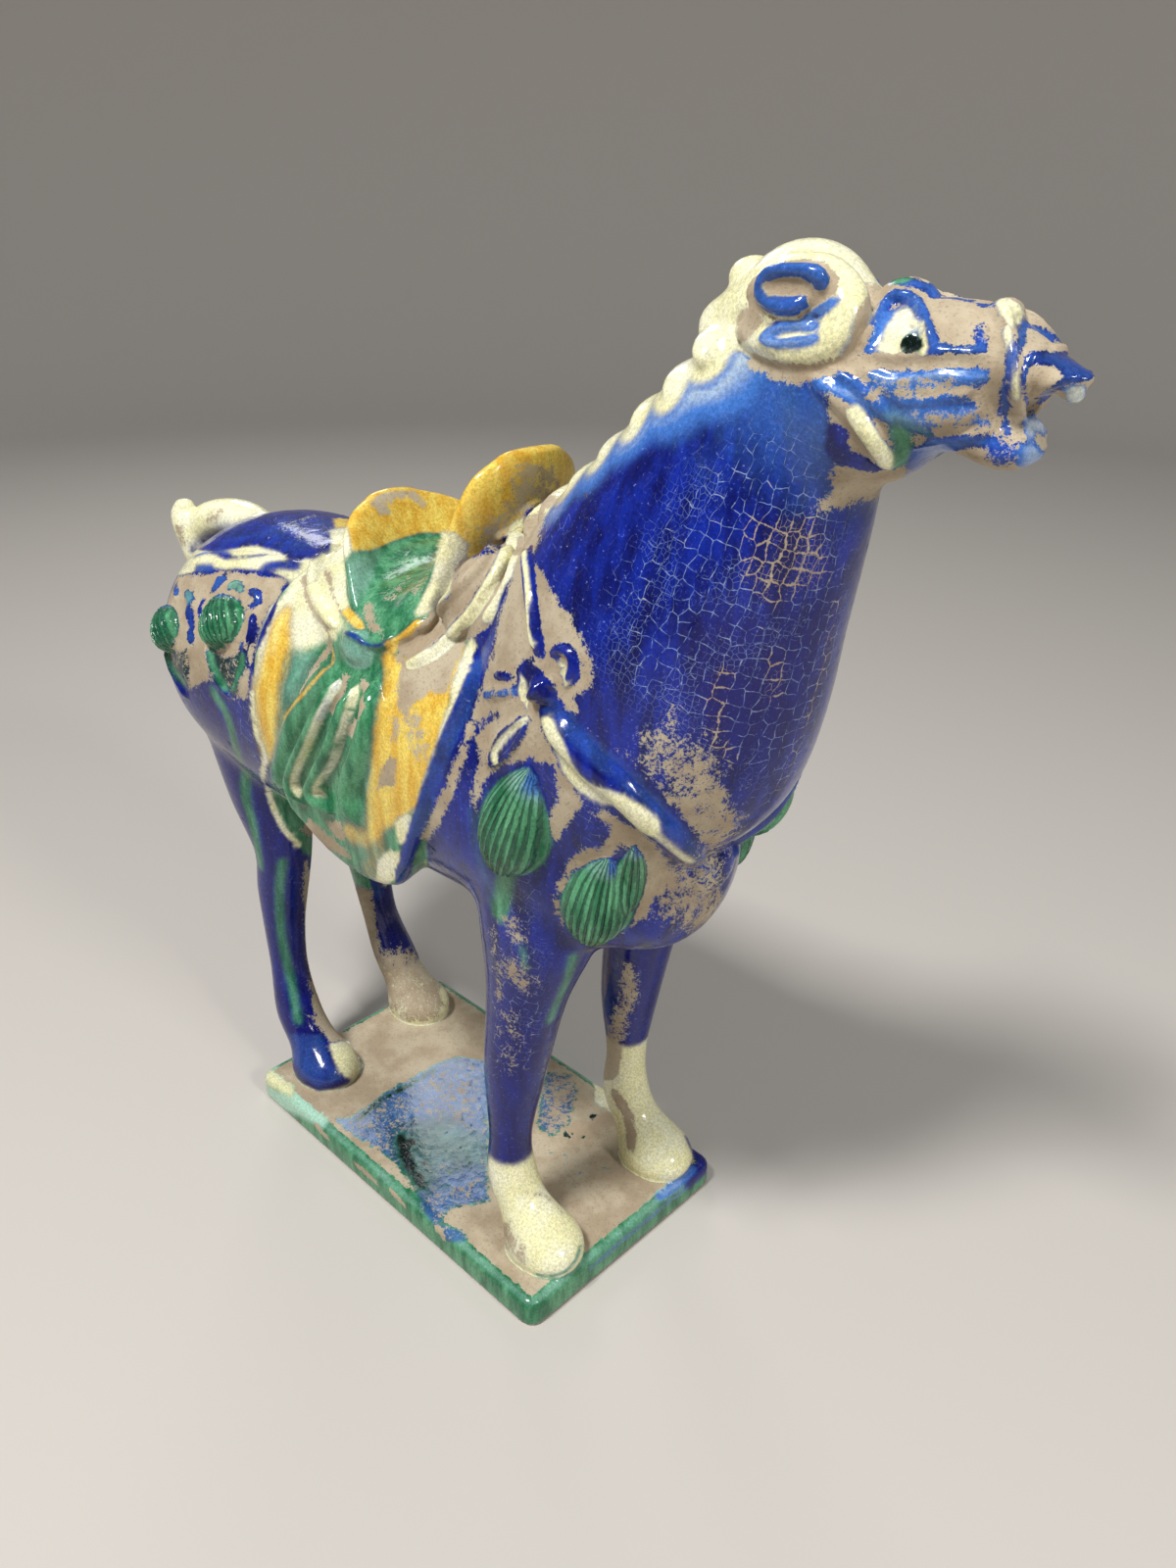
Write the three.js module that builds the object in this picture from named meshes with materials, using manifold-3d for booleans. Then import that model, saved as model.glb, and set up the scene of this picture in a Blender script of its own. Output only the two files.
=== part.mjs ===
// A glazed ceramic horse in the Tang manner, standing on its base slab, as one fired piece.
// Millimetres. +X is the way the horse faces, +Y its left and +Z up.
// The origin is the centre of the slab's underside.
import * as THREE from "three";
import { mergeVertices } from "three/addons/utils/BufferGeometryUtils.js";
import Module from "manifold-3d";

const wasm = await Module();
wasm.setup();

// Driving dimensions: the slab, how far the saddle cloth stands off the back, how deep raised work is sunk
// into the body, and where the four hooves stand, as [x, y].
const SLAB = { length: 134, width: 77, height: 9, corner: 4, edge: 2.5 };
const CLOTH_LIFT = 2.6;
const SUNK = 1.6;
const HOOVES = { fore: [[54, -22], [53, 26]], hind: [[-52, -22.5], [-57, 21]] };

const TAU = 2 * Math.PI;
const RIGHT = -1;
const SIDES = [RIGHT, 1];
const radians = (degrees) => (degrees * TAU) / 360;

// Reads a table of rows, each led by its place along the piece, as a smooth curve through the rows.
function readTable(rows, at) {
  const last = rows.length - 1;
  if (at <= rows[0][0]) return rows[0];
  if (at >= rows[last][0]) return rows[last];
  const i = rows.findIndex((row, k) => k < last && at < rows[k + 1][0]);
  const before = rows[Math.max(i - 1, 0)];
  const [a, b] = [rows[i], rows[i + 1]];
  const after = rows[Math.min(i + 2, last)];
  const span = b[0] - a[0];
  const t = (at - a[0]) / span;
  return a.map((value, k) => {
    const m0 = ((b[k] - before[k]) / (b[0] - before[0])) * span;
    const m1 = ((after[k] - a[k]) / (after[0] - a[0])) * span;
    const t2 = t * t;
    const t3 = t2 * t;
    const ends = (2 * t3 - 3 * t2 + 1) * value + (3 * t2 - 2 * t3) * b[k];
    return ends + (t3 - 2 * t2 + t) * m0 + (t3 - t2) * m1;
  });
}

// A closed skin over a grid of points: rings run round, and the first and last ring close on their own centres.
function skin(rings) {
  const around = rings[0].length;
  const points = rings.flat();
  const centre = (ring) => ring.reduce((sum, p) => sum.add(p), new THREE.Vector3()).divideScalar(ring.length);
  const start = points.push(centre(rings[0])) - 1;
  const end = points.push(centre(rings[rings.length - 1])) - 1;
  const faces = [];
  for (let i = 0; i < around; i++) {
    const j = (i + 1) % around;
    for (let r = 0; r + 1 < rings.length; r++) {
      const [a, b, c, d] = [r * around + i, r * around + j, (r + 1) * around + j, (r + 1) * around + i];
      faces.push(a, b, c, a, c, d);
    }
    const top = (rings.length - 1) * around;
    faces.push(start, j, i, end, top + i, top + j);
  }
  const geometry = new THREE.BufferGeometry().setFromPoints(points);
  geometry.setIndex(faces);
  return geometry;
}

// A geometry as a solid that can be joined and cut.
function solid(geometry) {
  const bare = geometry.index ? geometry.toNonIndexed() : geometry.clone();
  for (const name of Object.keys(bare.attributes)) if (name !== "position") bare.deleteAttribute(name);
  const merged = mergeVertices(bare, 1e-4);
  const vertProperties = merged.attributes.position.array;
  const make = (triVerts) => new wasm.Manifold(new wasm.Mesh({ numProp: 3, vertProperties, triVerts }));
  const made = make(new Uint32Array(merged.index.array));
  if (made.volume() > 0) return made;
  const turned = new Uint32Array(merged.index.array);
  for (let i = 0; i < turned.length; i += 3) [turned[i + 1], turned[i + 2]] = [turned[i + 2], turned[i + 1]];
  return make(turned);
}

const join = (pieces) => pieces.reduce((all, piece) => all.add(piece));
const signedPower = (value, power) => Math.sign(value) * Math.abs(value) ** power;

// One ring of a section: an oval whose half-width lies along side, and whose two half-heights lie along up.
function oval(centre, side, up, [width, above, below], squareness, around) {
  return Array.from({ length: around }, (_, i) => {
    const angle = (i / around) * TAU;
    const c = signedPower(Math.cos(angle), 2 / squareness);
    const s = signedPower(Math.sin(angle), 2 / squareness);
    return centre.clone().addScaledVector(side, width * c).addScaledVector(up, (s > 0 ? above : below) * s);
  });
}

// The same ring standing upright across the horse at x, its centre at height z.
function uprightOval(x, z, sizes, squareness, around) {
  const [across, up] = [new THREE.Vector3(0, 1, 0), new THREE.Vector3(0, 0, 1)];
  return oval(new THREE.Vector3(x, 0, z), across, up, sizes, squareness, around);
}

// A limb: ovals carried along a curve through the rows' centres, with domed ends.
// Each row is [x, y, z, half-width across, half-depth ahead, half-depth behind].
// Wrap bends the limb's sides forward, as a saddle board's sides are.
function limb(rows, { around = 16, steps = 12, dome = 0.6, squareness = 2.1, wrap = 0 } = {}) {
  const centres = rows.map(([x, y, z]) => new THREE.Vector3(x, y, z));
  const path = new THREE.CatmullRomCurve3(centres, false, "centripetal");
  const table = rows.map((row, i) => [i / (rows.length - 1), ...row.slice(3)]);
  const rings = [];
  const place = (t, out, scale) => {
    const tangent = path.getTangent(t);
    const side = new THREE.Vector3(0, 1, 0).addScaledVector(tangent, -tangent.y).normalize();
    const ahead = new THREE.Vector3().crossVectors(side, tangent);
    const [, ...sizes] = readTable(table, t);
    const reach = Math.min(...sizes) * dome;
    const centre = path.getPoint(t).addScaledVector(tangent, out * reach);
    rings.push(oval(centre, side, ahead, sizes.map((s) => s * scale), squareness, around));
  };
  const turn = radians(60);
  place(0, -Math.sin(turn), Math.cos(turn));
  for (let i = 0; i <= steps; i++) place(i / steps, 0, 1);
  place(1, Math.sin(turn), Math.cos(turn));
  for (const point of rings.flat()) point.x += wrap * point.y * point.y;
  return solid(skin(rings));
}

// The trunk, as rows of [x, centre height, half-width, half-height above, half-height below].
const TRUNK = [
  [-101, 152, 25, 24, 26],
  [-93, 152, 35, 33, 36],
  [-76, 152, 40, 38, 40],
  [-45, 150, 39, 39, 39],
  [-10, 149, 37, 38, 39],
  [25, 149, 37, 41, 40],
  [50, 147, 36, 44, 37],
  [68, 142, 31, 36, 31],
  [78, 136, 22, 26, 23],
];
function trunkRing(x, scale = 1) {
  const [, z, width, above, below] = readTable(TRUNK, x);
  const sizes = [width, above, below].map((s) => s * scale);
  return uprightOval(x, z, sizes, 2.15, 20);
}
function trunk() {
  const steps = 9;
  const [rear, front] = [TRUNK[0][0], TRUNK[TRUNK.length - 1][0]];
  const rings = [];
  for (let i = 0; i <= steps; i++) rings.push(trunkRing(rear + ((front - rear) * i) / steps));
  const ends = [
    [0.85, 5],
    [0.5, 9],
  ];
  const moved = (x, scale, dx) => trunkRing(x, scale).map((p) => p.setX(x + dx));
  for (const [scale, out] of ends) {
    rings.push(moved(front, scale, out));
    rings.unshift(moved(rear, scale, -out * 0.8));
  }
  return solid(skin(rings));
}

// Neck, head and open mouth, as limb rows from the shoulders to the lips.
const NECK = [
  [56, 0, 142, 32, 26, 44],
  [65, 0, 168, 34, 38, 44],
  [75, 0, 194, 31, 37, 37],
  [86, 0, 216, 25.5, 30, 28],
  [96, 0, 236, 18.5, 23, 20],
  [101, 0, 246, 14, 13, 15],
];
const HEAD = [
  [98, 0, 245, 13, 14, 15],
  [108, 0, 243.5, 15.5, 17, 18],
  [118, 0, 243.5, 15, 16.5, 14.5],
  [127, 0, 246, 12.5, 12.5, 11.5],
  [136, 0, 247, 10.5, 10.5, 10.5],
];
const UPPER_JAW = [
  [130, 0, 251, 11, 6.5, 5],
  [140, 0, 251.5, 9.5, 5, 4.5],
  [147, 0, 251, 7, 3, 3.5],
  [152.5, 0, 249.8, 2.8, 1.6, 1.6],
];
const LOWER_JAW = [
  [128, 0, 240.5, 10, 4, 5],
  [138, 0, 238.5, 9, 4, 4.5],
  [146, 0, 237.5, 7, 3.2, 3.5],
];

// The legs, as limb rows from the body down to the slab, for a hoof standing at (x, y).
const foreleg = (x, y) => [
  [x - 1, y * 0.72, 146, 15, 20, 20],
  [x - 3, y * 0.84, 118, 14, 16, 17],
  [x - 6, y * 0.92, 94, 10, 11, 11],
  [x - 10, y * 0.96, 66, 8.3, 9, 8],
  [x - 12, y, 44, 6, 6, 6],
  [x - 12, y, 30, 6.8, 7, 7.5],
  [x - 7, y, 21, 7, 8, 7],
  [x, y, 12, 10.5, 11, 11],
];
const hindleg = (x, y) => [
  [x - 24, y * 0.75, 136, 16, 22, 20],
  [x - 21, y * 0.78, 108, 12.5, 15, 14],
  [x - 17, y * 0.8, 88, 9, 9.5, 9.5],
  [x - 19.5, y * 0.84, 72, 7.8, 7.5, 9.5],
  [x - 19, y * 0.89, 58, 6.5, 7, 7.5],
  [x - 17, y * 0.94, 43, 6, 6.5, 6.5],
  [x - 12.5, y, 29, 7, 8, 8],
  [x - 6, y, 20, 7.5, 8, 7.5],
  [x, y, 12, 10, 11, 11],
];
const LEGS = [...HOOVES.fore.map((at) => foreleg(...at)), ...HOOVES.hind.map((at) => hindleg(...at))];
const hoof = ([x, y]) => lump([x + 1, y, 12.5], [12.5, 10.5, 8], [0, 0, 0], [8, 5]);

function geometryOf(made) {
  const { vertProperties, triVerts } = made.getMesh();
  const geometry = new THREE.BufferGeometry();
  geometry.setAttribute("position", new THREE.BufferAttribute(vertProperties, 3));
  return geometry.setIndex(new THREE.BufferAttribute(triVerts, 1));
}

// The bare body, which the raised work is laid on.
const body = join([
  trunk(),
  limb(NECK, { around: 15, steps: 6 }),
  limb(HEAD, { around: 12, steps: 6 }),
  limb(UPPER_JAW, { around: 8, steps: 5 }),
  limb(LOWER_JAW, { around: 8, steps: 3 }),
  ...LEGS.map((rows) => limb(rows, { around: 8, steps: 9 })),
]);
const bodyMesh = new THREE.Mesh(geometryOf(body), new THREE.MeshBasicMaterial({ side: THREE.DoubleSide }));

// The point on the body, and the way its surface faces there, met from outside along a level ray.
function meet(from, towards) {
  const way = towards.clone().sub(from).normalize();
  const [hit] = new THREE.Raycaster(from, way).intersectObject(bodyMesh);
  const facing = hit.face.normal.dot(way) > 0 ? -1 : 1;
  return { point: hit.point, normal: hit.face.normal.clone().multiplyScalar(facing) };
}
// On the flank: straight in from one side at (x, z).
const onFlank = (side) => ([x, z]) =>
  meet(new THREE.Vector3(x, side * 90, z), new THREE.Vector3(x, 0, z));
// Round an upright axis at x: in from a turn away from straight ahead, in degrees, at height z.
const roundFrom = (x, side) => ([turn, z]) => {
  const a = radians(turn);
  const out = new THREE.Vector3(Math.cos(a), side * Math.sin(a), 0).multiplyScalar(120);
  return meet(out.add(new THREE.Vector3(x, 0, z)), new THREE.Vector3(x, 0, z));
};

// A bead laid on the body: a rounded strip whose centre line passes through the given places.
// Its half-width and height are read along it from rows of [share of the length, half-width, height].
function bead(place, places, rows, { around = 8, steps = 10 } = {}) {
  const line = new THREE.CatmullRomCurve3(places.map(([u, v]) => new THREE.Vector3(u, v, 0)));
  const found = Array.from({ length: steps + 1 }, (_, i) => {
    const { x, y } = line.getPoint(i / steps);
    return place([x, y]);
  });
  const rings = found.map(({ point, normal }, i) => {
    const [before, after] = [found[Math.max(i - 1, 0)].point, found[Math.min(i + 1, steps)].point];
    const along = after.clone().sub(before).normalize();
    const side = new THREE.Vector3().crossVectors(normal, along).normalize();
    const up = new THREE.Vector3().crossVectors(along, side);
    const [, width, height] = readTable(rows, i / steps);
    return oval(point, side, up, [width, height, SUNK], 2, around);
  });
  return solid(skin(rings));
}
const even = (width, height) => [
  [0, width * 0.6, height * 0.5],
  [0.12, width, height],
  [0.88, width, height],
  [1, width * 0.6, height * 0.5],
];

// A rounded lump: a ball stretched by its three radii, turned about the three axes in degrees, and moved.
// Detail is the ball's number of faces round and from top to bottom.
function lump(centre, radii, turns = [0, 0, 0], detail = [8, 6]) {
  const turned = new THREE.Quaternion().setFromEuler(new THREE.Euler(...turns.map(radians)));
  const at = new THREE.Matrix4();
  at.compose(new THREE.Vector3(...centre), turned, new THREE.Vector3(...radii));
  return solid(new THREE.SphereGeometry(1, ...detail).applyMatrix4(at));
}

// The saddle cloth. Its edges are read from rows of [share of the way from spine to hem, rear x, front x],
// and its hem from rows of [share from rear to front, height].
const CLOTH_EDGES = [
  [0, -34, 50],
  [0.25, -36, 48],
  [0.5, -37, 42],
  [0.75, -34, 35],
  [1, -26, 24],
];
const HEM = [
  [0, 124],
  [0.3, 114.5],
  [0.6, 113],
  [0.85, 117],
  [1, 126],
];
// How far the cloth hangs out from the spine at (x, z), before its own thickness.
function clothReach(x, z) {
  const [, centre, width, above] = readTable(TRUNK, x);
  if (z < centre) return width * (1 - 0.1 * ((centre - z) / 38) ** 2);
  return width * Math.max(1 - ((z - centre) / above) ** 2.15, 0) ** (1 / 2.15);
}
// One point of the cloth's face: s runs from rear to front, t from the spine to the hem of one side.
// The upper three quarters lie over the barrel, and the last quarter hangs.
function clothPoint(s, t, side, lift) {
  const [, rear, front] = readTable(CLOTH_EDGES, t);
  const x = rear + (front - rear) * s;
  const [, centre, width, above] = readTable(TRUNK, x);
  const over = Math.min(t / 0.75, 1) * (TAU / 4);
  if (t <= 0.75) {
    const [c, sn] = [Math.sin(over) ** (2 / 2.15), Math.cos(over) ** (2 / 2.15)];
    return new THREE.Vector3(x, side * (width + lift) * c, centre + (above + lift) * sn);
  }
  const z = centre + ((readTable(HEM, s)[1] - centre) * (t - 0.75)) / 0.25;
  return new THREE.Vector3(x, side * (clothReach(x, z) + lift), z);
}
function cloth() {
  const across = [0, 0.03, 0.2, 0.5, 0.8, 0.97, 1];
  const down = [1, 0.97, 0.84, 0.7, 0.55, 0.4, 0.2];
  const rings = across.map((s, i) => {
    const lift = i === 0 || i === across.length - 1 ? -1 : CLOTH_LIFT;
    const half = (side) => down.map((t) => clothPoint(s, t, side, t === 1 ? lift - 1 : lift));
    const outer = [...half(-1), clothPoint(s, 0, 1, lift), ...half(1).reverse()];
    const x = outer[0].x;
    const hem = outer[0].z + 4;
    const inner = [[20, hem], [8, 140], [-8, 140], [-20, hem]];
    return [...outer, ...inner.map(([y, z]) => new THREE.Vector3(x, y, z))];
  });
  return solid(skin(rings));
}
// A place on the cloth's face, as onFlank gives one on the body.
const onCloth = (side) => ([x, z]) => {
  const dx = clothReach(x + 0.5, z) - clothReach(x - 0.5, z);
  const dz = clothReach(x, z + 0.5) - clothReach(x, z - 0.5);
  return {
    point: new THREE.Vector3(x, side * (clothReach(x, z) + CLOTH_LIFT), z),
    normal: new THREE.Vector3(-dx, side, -dz).normalize(),
  };
};

// The saddle: a seat between a tall pommel board and a lower cantle board whose sides wrap forward.
// The boards are limb rows; the seat's rows are [x, centre height, half-width, height above the centre].
const POMMEL = [
  [19, 0, 176, 27, 6, 7],
  [22.5, 0, 190, 24, 5, 6],
  [26, 0, 202, 19.5, 3.8, 4.5],
  [28.5, 0, 211, 16.5, 3.2, 3.6],
  [30, 0, 217.5, 12.5, 2.8, 3],
  [30.8, 0, 221.5, 6.5, 2, 2],
];
const CANTLE = [
  [-15, 0, 180, 31, 7, 5],
  [-19, 0, 190, 27, 5.5, 4.5],
  [-22, 0, 197, 23, 4, 4],
  [-23.5, 0, 201.5, 16, 3, 3],
  [-24.2, 0, 204, 8, 2, 2],
];
const SEAT = [
  [-24, 176, 27, 20],
  [-12, 175, 32, 18],
  [0, 174, 34, 17],
  [12, 175, 33, 20],
  [22, 177, 28, 24],
];
function saddle() {
  const rings = SEAT.map(([x, z, width, above]) => uprightOval(x, z, [width, above, 12], 2.3, 14));
  return join([
    solid(skin(rings)),
    limb(POMMEL, { around: 12, steps: 5, wrap: -0.008 }),
    limb(CANTLE, { around: 12, steps: 5, wrap: 0.018 }),
  ]);
}

// The cloth is gathered in a knot on each flank. Pleats hang below the knot, and folds run from it to the
// withers and the croup. Each gather's rows are [x, z, way across as x and z, half-width, height].
const PLEATS = {
  ribs: 5,
  rows: [
    [4, 173, 1, 0.1, 7, 1],
    [1, 165, 1, 0.2, 12, 3.2],
    [-4, 152, 1, 0.22, 17, 4.2],
    [-7, 138, 1, 0.2, 18.5, 4.4],
    [-8, 130, 1, 0.15, 17, 3.2],
    [-8, 126, 1, 0.1, 14, 0.2],
  ],
};
const FRONT_FOLDS = {
  ribs: 2,
  rows: [
    [9, 176, -0.3, 1, 3, 1],
    [23, 178, -0.5, 1, 4.5, 2],
    [36, 188, -0.8, 1, 5.5, 2],
    [46, 202, -1, 0.6, 5, 0.8],
  ],
};
const REAR_FOLDS = {
  ribs: 2,
  rows: [
    [-3, 176, 0.2, 1, 3, 1],
    [-15, 176, 0, 1, 4, 1.8],
    [-27, 180, 0.3, 1, 4, 1.6],
    [-34, 184, 0.5, 1, 3.5, 0.4],
  ],
};
function gather({ ribs, rows }, place) {
  const across = 2 * ribs + 1;
  const rings = rows.map(([x, z, ax, az, width, height]) => {
    const way = new THREE.Vector2(ax, az).normalize().multiplyScalar(width);
    const at = (u, lift) => {
      const { point, normal } = place([x + way.x * u, z + way.y * u]);
      return point.addScaledVector(normal, lift);
    };
    const crease = (i) => at((2 * i) / (across - 1) - 1, i % 2 ? height : height * 0.2);
    const outer = Array.from({ length: across }, (_, i) => crease(i));
    return [...outer, at(0.7, -SUNK), at(-0.7, -SUNK)];
  });
  return solid(skin(rings));
}
function gathers(side) {
  const knot = lump([4, side * 30.5, 177], [7, 5, 5.5], [side * 25, 0, 0]);
  return join([knot, ...[PLEATS, FRONT_FOLDS, REAR_FOLDS].map((folds) => gather(folds, onCloth(side)))]);
}

// Harness on the body. Places on the flank are [x, z], and the other bands' places are
// [turn away from the band's centre, z], so both halves of a band that crosses the middle are alike.
const GIRTH_BAND = [[46, 187], [45, 176], [41, 159], [34, 142], [27, 128]];
const WITHERS_BAND = [[51, 208], [59, 203], [64, 193]];
const BREAST = { axis: 50, centre: 0, places: [[0, 139], [18, 149], [35, 163], [47, 175], [66, 183]] };
const CRUPPER = { axis: -60, centre: 180, places: [[0, 166], [24, 168], [50, 174], [88, 183], [118, 187]] };
function harness(side) {
  const strip = (places, sizes) => bead(onFlank(side), places, sizes, { around: 5, steps: 4 });
  const parts = [strip(GIRTH_BAND, even(2, 1.3))];
  if (side === RIGHT) parts.push(strip(WITHERS_BAND, even(2.6, 1.2)));
  const junction = onFlank(side)([66, 183]).point;
  return join([...parts, lump(junction.toArray(), [4.4, 3, 4.4], [0, 0, 0], [7, 5])]);
}
function crossBand({ axis, centre, places }, width, height, steps) {
  const half = (sign) => places.map(([turn, z]) => [centre + sign * turn, z]);
  const whole = [...half(-1).reverse(), ...half(1).slice(1)];
  return bead(roundFrom(axis, 1), whole, even(width, height), { around: 6, steps });
}

const pendant = () => lump([86, 0, 138], [6, 8, 8], [0, 20, 0]);

// Tassels, ribbed along their drop: a shell that widens from its tie to its hem, and a ball over a thin skirt.
// Rows are [place along the drop, half-width, height], the first two in shares of the tassel's size.
const TASSEL_HEIGHT = 3.2;
const SHELL = [
  [-0.9, 0.3, 0.5],
  [-0.4, 0.75, 1],
  [0.4, 1, 1.15],
  [1.1, 0.9, 1],
  [1.6, 0.45, 0.4],
];
const BALL = [
  [-0.7, 0.45, 0.5],
  [0, 1, 1.3],
  [0.7, 0.7, 0.6],
  [1.7, 0.8, 0.6],
  [2.6, 0.4, 0.2],
];
function tassel({ point, normal }, shape, [dx, dz], size) {
  const down = new THREE.Vector3(dx, 0, dz);
  down.addScaledVector(normal, -down.dot(normal)).normalize();
  const across = new THREE.Vector3().crossVectors(normal, down);
  const angles = [0, 36, 72, 108, 144, 180, 270];
  const rings = shape.map(([along, width, height]) => angles.map((a, i) => {
    const [c, sn] = [Math.cos(radians(a)), Math.sin(radians(a))];
    const rib = i % 2 ? 1 : 0.8;
    const lift = sn > 0 ? TASSEL_HEIGHT * height * rib * sn : SUNK * sn;
    const place = point.clone().addScaledVector(normal, lift);
    return place.addScaledVector(down, along * size).addScaledVector(across, width * size * c * rib);
  }));
  return solid(skin(rings));
}
// Where they hang, as [place round the body, the way they drop in x and z, size].
const CHEST_TASSELS = [
  [[71, 156], [-0.3, -1], 10.5],
  [[41, 142], [-0.4, -1], 10.5],
];
const CROUP_TASSELS = [
  [[84, 172], [0, -1], 6.5],
  [[126, 164], [0, -1], 6.5],
];
function tassels(side) {
  const hung = (axis, shape, rows) =>
    rows.map(([at, drop, size]) => tassel(roundFrom(axis, side)(at), shape, drop, size));
  return join([...hung(BREAST.axis, SHELL, CHEST_TASSELS), ...hung(CRUPPER.axis, BALL, CROUP_TASSELS)]);
}

// The mane: a row of lobes down the crest, whose centre line runs through rows of [x, z].
const CREST = [
  [93, 251],
  [84, 241],
  [73, 231],
  [61, 220],
  [49, 211],
  [42, 206],
];
const MANE = { lobes: 7, rings: 2, width: 13, height: 6.5 };
function mane() {
  const line = new THREE.CatmullRomCurve3(CREST.map(([x, z]) => new THREE.Vector3(x, 0, z)));
  const across = new THREE.Vector3(0, 1, 0);
  const count = MANE.lobes * MANE.rings;
  const rings = Array.from({ length: count + 1 }, (_, i) => {
    const up = new THREE.Vector3().crossVectors(across, line.getTangent(i / count));
    const swell = [0.76, 1][i % MANE.rings] * (i === count ? 0.6 : 1);
    return oval(line.getPoint(i / count), across, up, [MANE.width * swell, MANE.height * swell, 5], 2, 7);
  });
  return solid(skin(rings));
}

// The forelock: a crown on the poll, and on each side a roll that curls down before the ear and back under it.
const CROWN = [
  [89, 0, 253, 8, 8, 5],
  [96, 0, 257, 10.5, 9, 6.5],
  [103, 0, 258, 11.5, 10, 7],
  [109, 0, 255, 11, 9, 6.5],
  [113, 0, 251, 8, 7, 5],
];
const roll = (side) => [
  [103, side * 8, 260, 3.5, 4, 4],
  [109, side * 11, 259.5, 3.5, 4, 4],
  [114.5, side * 13.5, 255, 3.5, 3.5, 3.5],
  [112.5, side * 14.5, 249.5, 3.5, 3.2, 3.2],
  [105, side * 14.5, 248, 3.2, 3, 3],
  [97, side * 13, 250, 2.6, 2.6, 2.6],
];
// The ears lie back. Each is a leaf with a hollow cut into its outer face.
function earParts(side) {
  const turns = [side * 12, -5, side * 14];
  const leaf = lump([104.5, side * 14.5, 258], [10.5, 3.6, 5.2], turns, [10, 7]);
  const hollow = lump([106.5, side * 18, 257.6], [8, 2.6, 2.9], turns, [8, 6]);
  return { leaf, hollow };
}

// Brow, eye and cheek on one side of the head, and the noseband round the muzzle.
const BROW = [[114, 249.5], [118.5, 254], [123, 255.5], [127.5, 254], [130.5, 250]];
const CHEEK_STRAP = [[108, 250], [114, 247.5], [119, 243.5], [122, 238], [120.5, 235.5]];
function face(side) {
  const brow = bead(onFlank(side), BROW, even(1.8, 1.8), { around: 5, steps: 4 });
  const cheek = bead(onFlank(side), CHEEK_STRAP, even(2, 1.5), { around: 5, steps: 4 });
  const eye = onFlank(side)([124.5, 252]).point;
  const ball = lump([eye.x, eye.y - side * 0.6, eye.z], [3.6, 2.4, 2.6], [0, 0, 0], [7, 5]);
  return join([brow, cheek, ball]);
}
const NOSEBAND = { places: [[137, 0, 256.4], [139.5, 9.8, 251], [140, 8.8, 240], [138, 0, 234.6]], radius: 2 };
function noseband() {
  const [top, upper, lower, chin] = NOSEBAND.places.map((p) => new THREE.Vector3(...p));
  const mirrored = (p) => p.clone().setY(-p.y);
  const loop = new THREE.CatmullRomCurve3([top, mirrored(upper), mirrored(lower), chin, lower, upper], true);
  return solid(new THREE.TubeGeometry(loop, 14, NOSEBAND.radius, 5, true));
}
const nostril = (side) => lump([147, side * 8.6, 248.3], [4, 2.2, 2.4], [0, -20, 0], [6, 5]);
const teeth = () => join([
  lump([149.5, 0, 246.8], [2, 4, 2], [0, 0, 0], [7, 5]),
  lump([145.8, 0, 240.6], [2, 4.4, 2.4], [0, 0, 0], [7, 5]),
]);
const forehead = () => lump([119.5, 0, 256.8], [5.5, 4.5, 3.4], [0, 0, 0], [8, 5]);

// The tail: a short bound stub that rises from the croup and turns to the right, with a tuft at its end.
const TAIL = [
  [-86, -1, 181, 7, 6, 6],
  [-97, -3, 185, 7, 5.5, 5.5],
  [-106, -7, 184, 6.5, 5.5, 5.5],
  [-112, -10, 178, 5.5, 5, 5],
];
const TUFT = [
  [-107, -11, 166, 4, 4, 4],
  [-111, -11, 176, 5, 5, 5],
  [-114, -12, 184, 4.5, 4.5, 4.5],
  [-114, -12, 188, 3, 3, 3],
];

// The slab: a block with rounded corners and a rounded upper edge.
function slabRing(z, inset) {
  const corner = SLAB.corner - inset * 0.5;
  const [l, w] = [SLAB.length / 2 - inset - corner, SLAB.width / 2 - inset - corner];
  const corners = [[l, w, 0], [-l, w, 1], [-l, -w, 2], [l, -w, 3]];
  return corners.flatMap(([x, y, quarter]) => [0, 30, 60, 90].map((turn) => {
    const a = radians(quarter * 90 + turn);
    return new THREE.Vector3(x + corner * Math.cos(a), y + corner * Math.sin(a), z);
  }));
}
function slab() {
  const { height, edge } = SLAB;
  const rings = [slabRing(0, 0.6), slabRing(0.6, 0), slabRing(height - edge, 0)];
  for (const turn of [30, 60, 90].map(radians)) {
    rings.push(slabRing(height - edge + edge * Math.sin(turn), edge * (1 - Math.cos(turn))));
  }
  return solid(skin(rings));
}

// The body with everything raised on it, and the hollows of the ears and nostrils cut in.
function horse() {
  const hooves = [...HOOVES.fore, ...HOOVES.hind].map(hoof);
  const bands = [crossBand(BREAST, 3.4, 1.8, 12), crossBand(CRUPPER, 3.6, 1.2, 10)];
  const tail = [limb(TAIL, { around: 7, steps: 4 }), limb(TUFT, { around: 7, steps: 3 })];
  const rolls = SIDES.map((side) => limb(roll(side), { around: 7, steps: 6 }));
  const hair = [mane(), limb(CROWN, { around: 8, steps: 4 }), ...rolls, ...tail];
  const muzzle = [noseband(), teeth(), forehead()];
  const paired = SIDES.flatMap((side) => [gathers(side), harness(side), tassels(side), face(side)]);
  const leaves = SIDES.map((side) => earParts(side).leaf);
  const raised = [...hooves, cloth(), saddle(), ...bands, pendant(), ...hair, ...muzzle, ...paired, ...leaves];
  const cuts = SIDES.flatMap((side) => [nostril(side), earParts(side).hollow]);
  return join([body, ...raised]).subtract(join(cuts));
}

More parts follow.
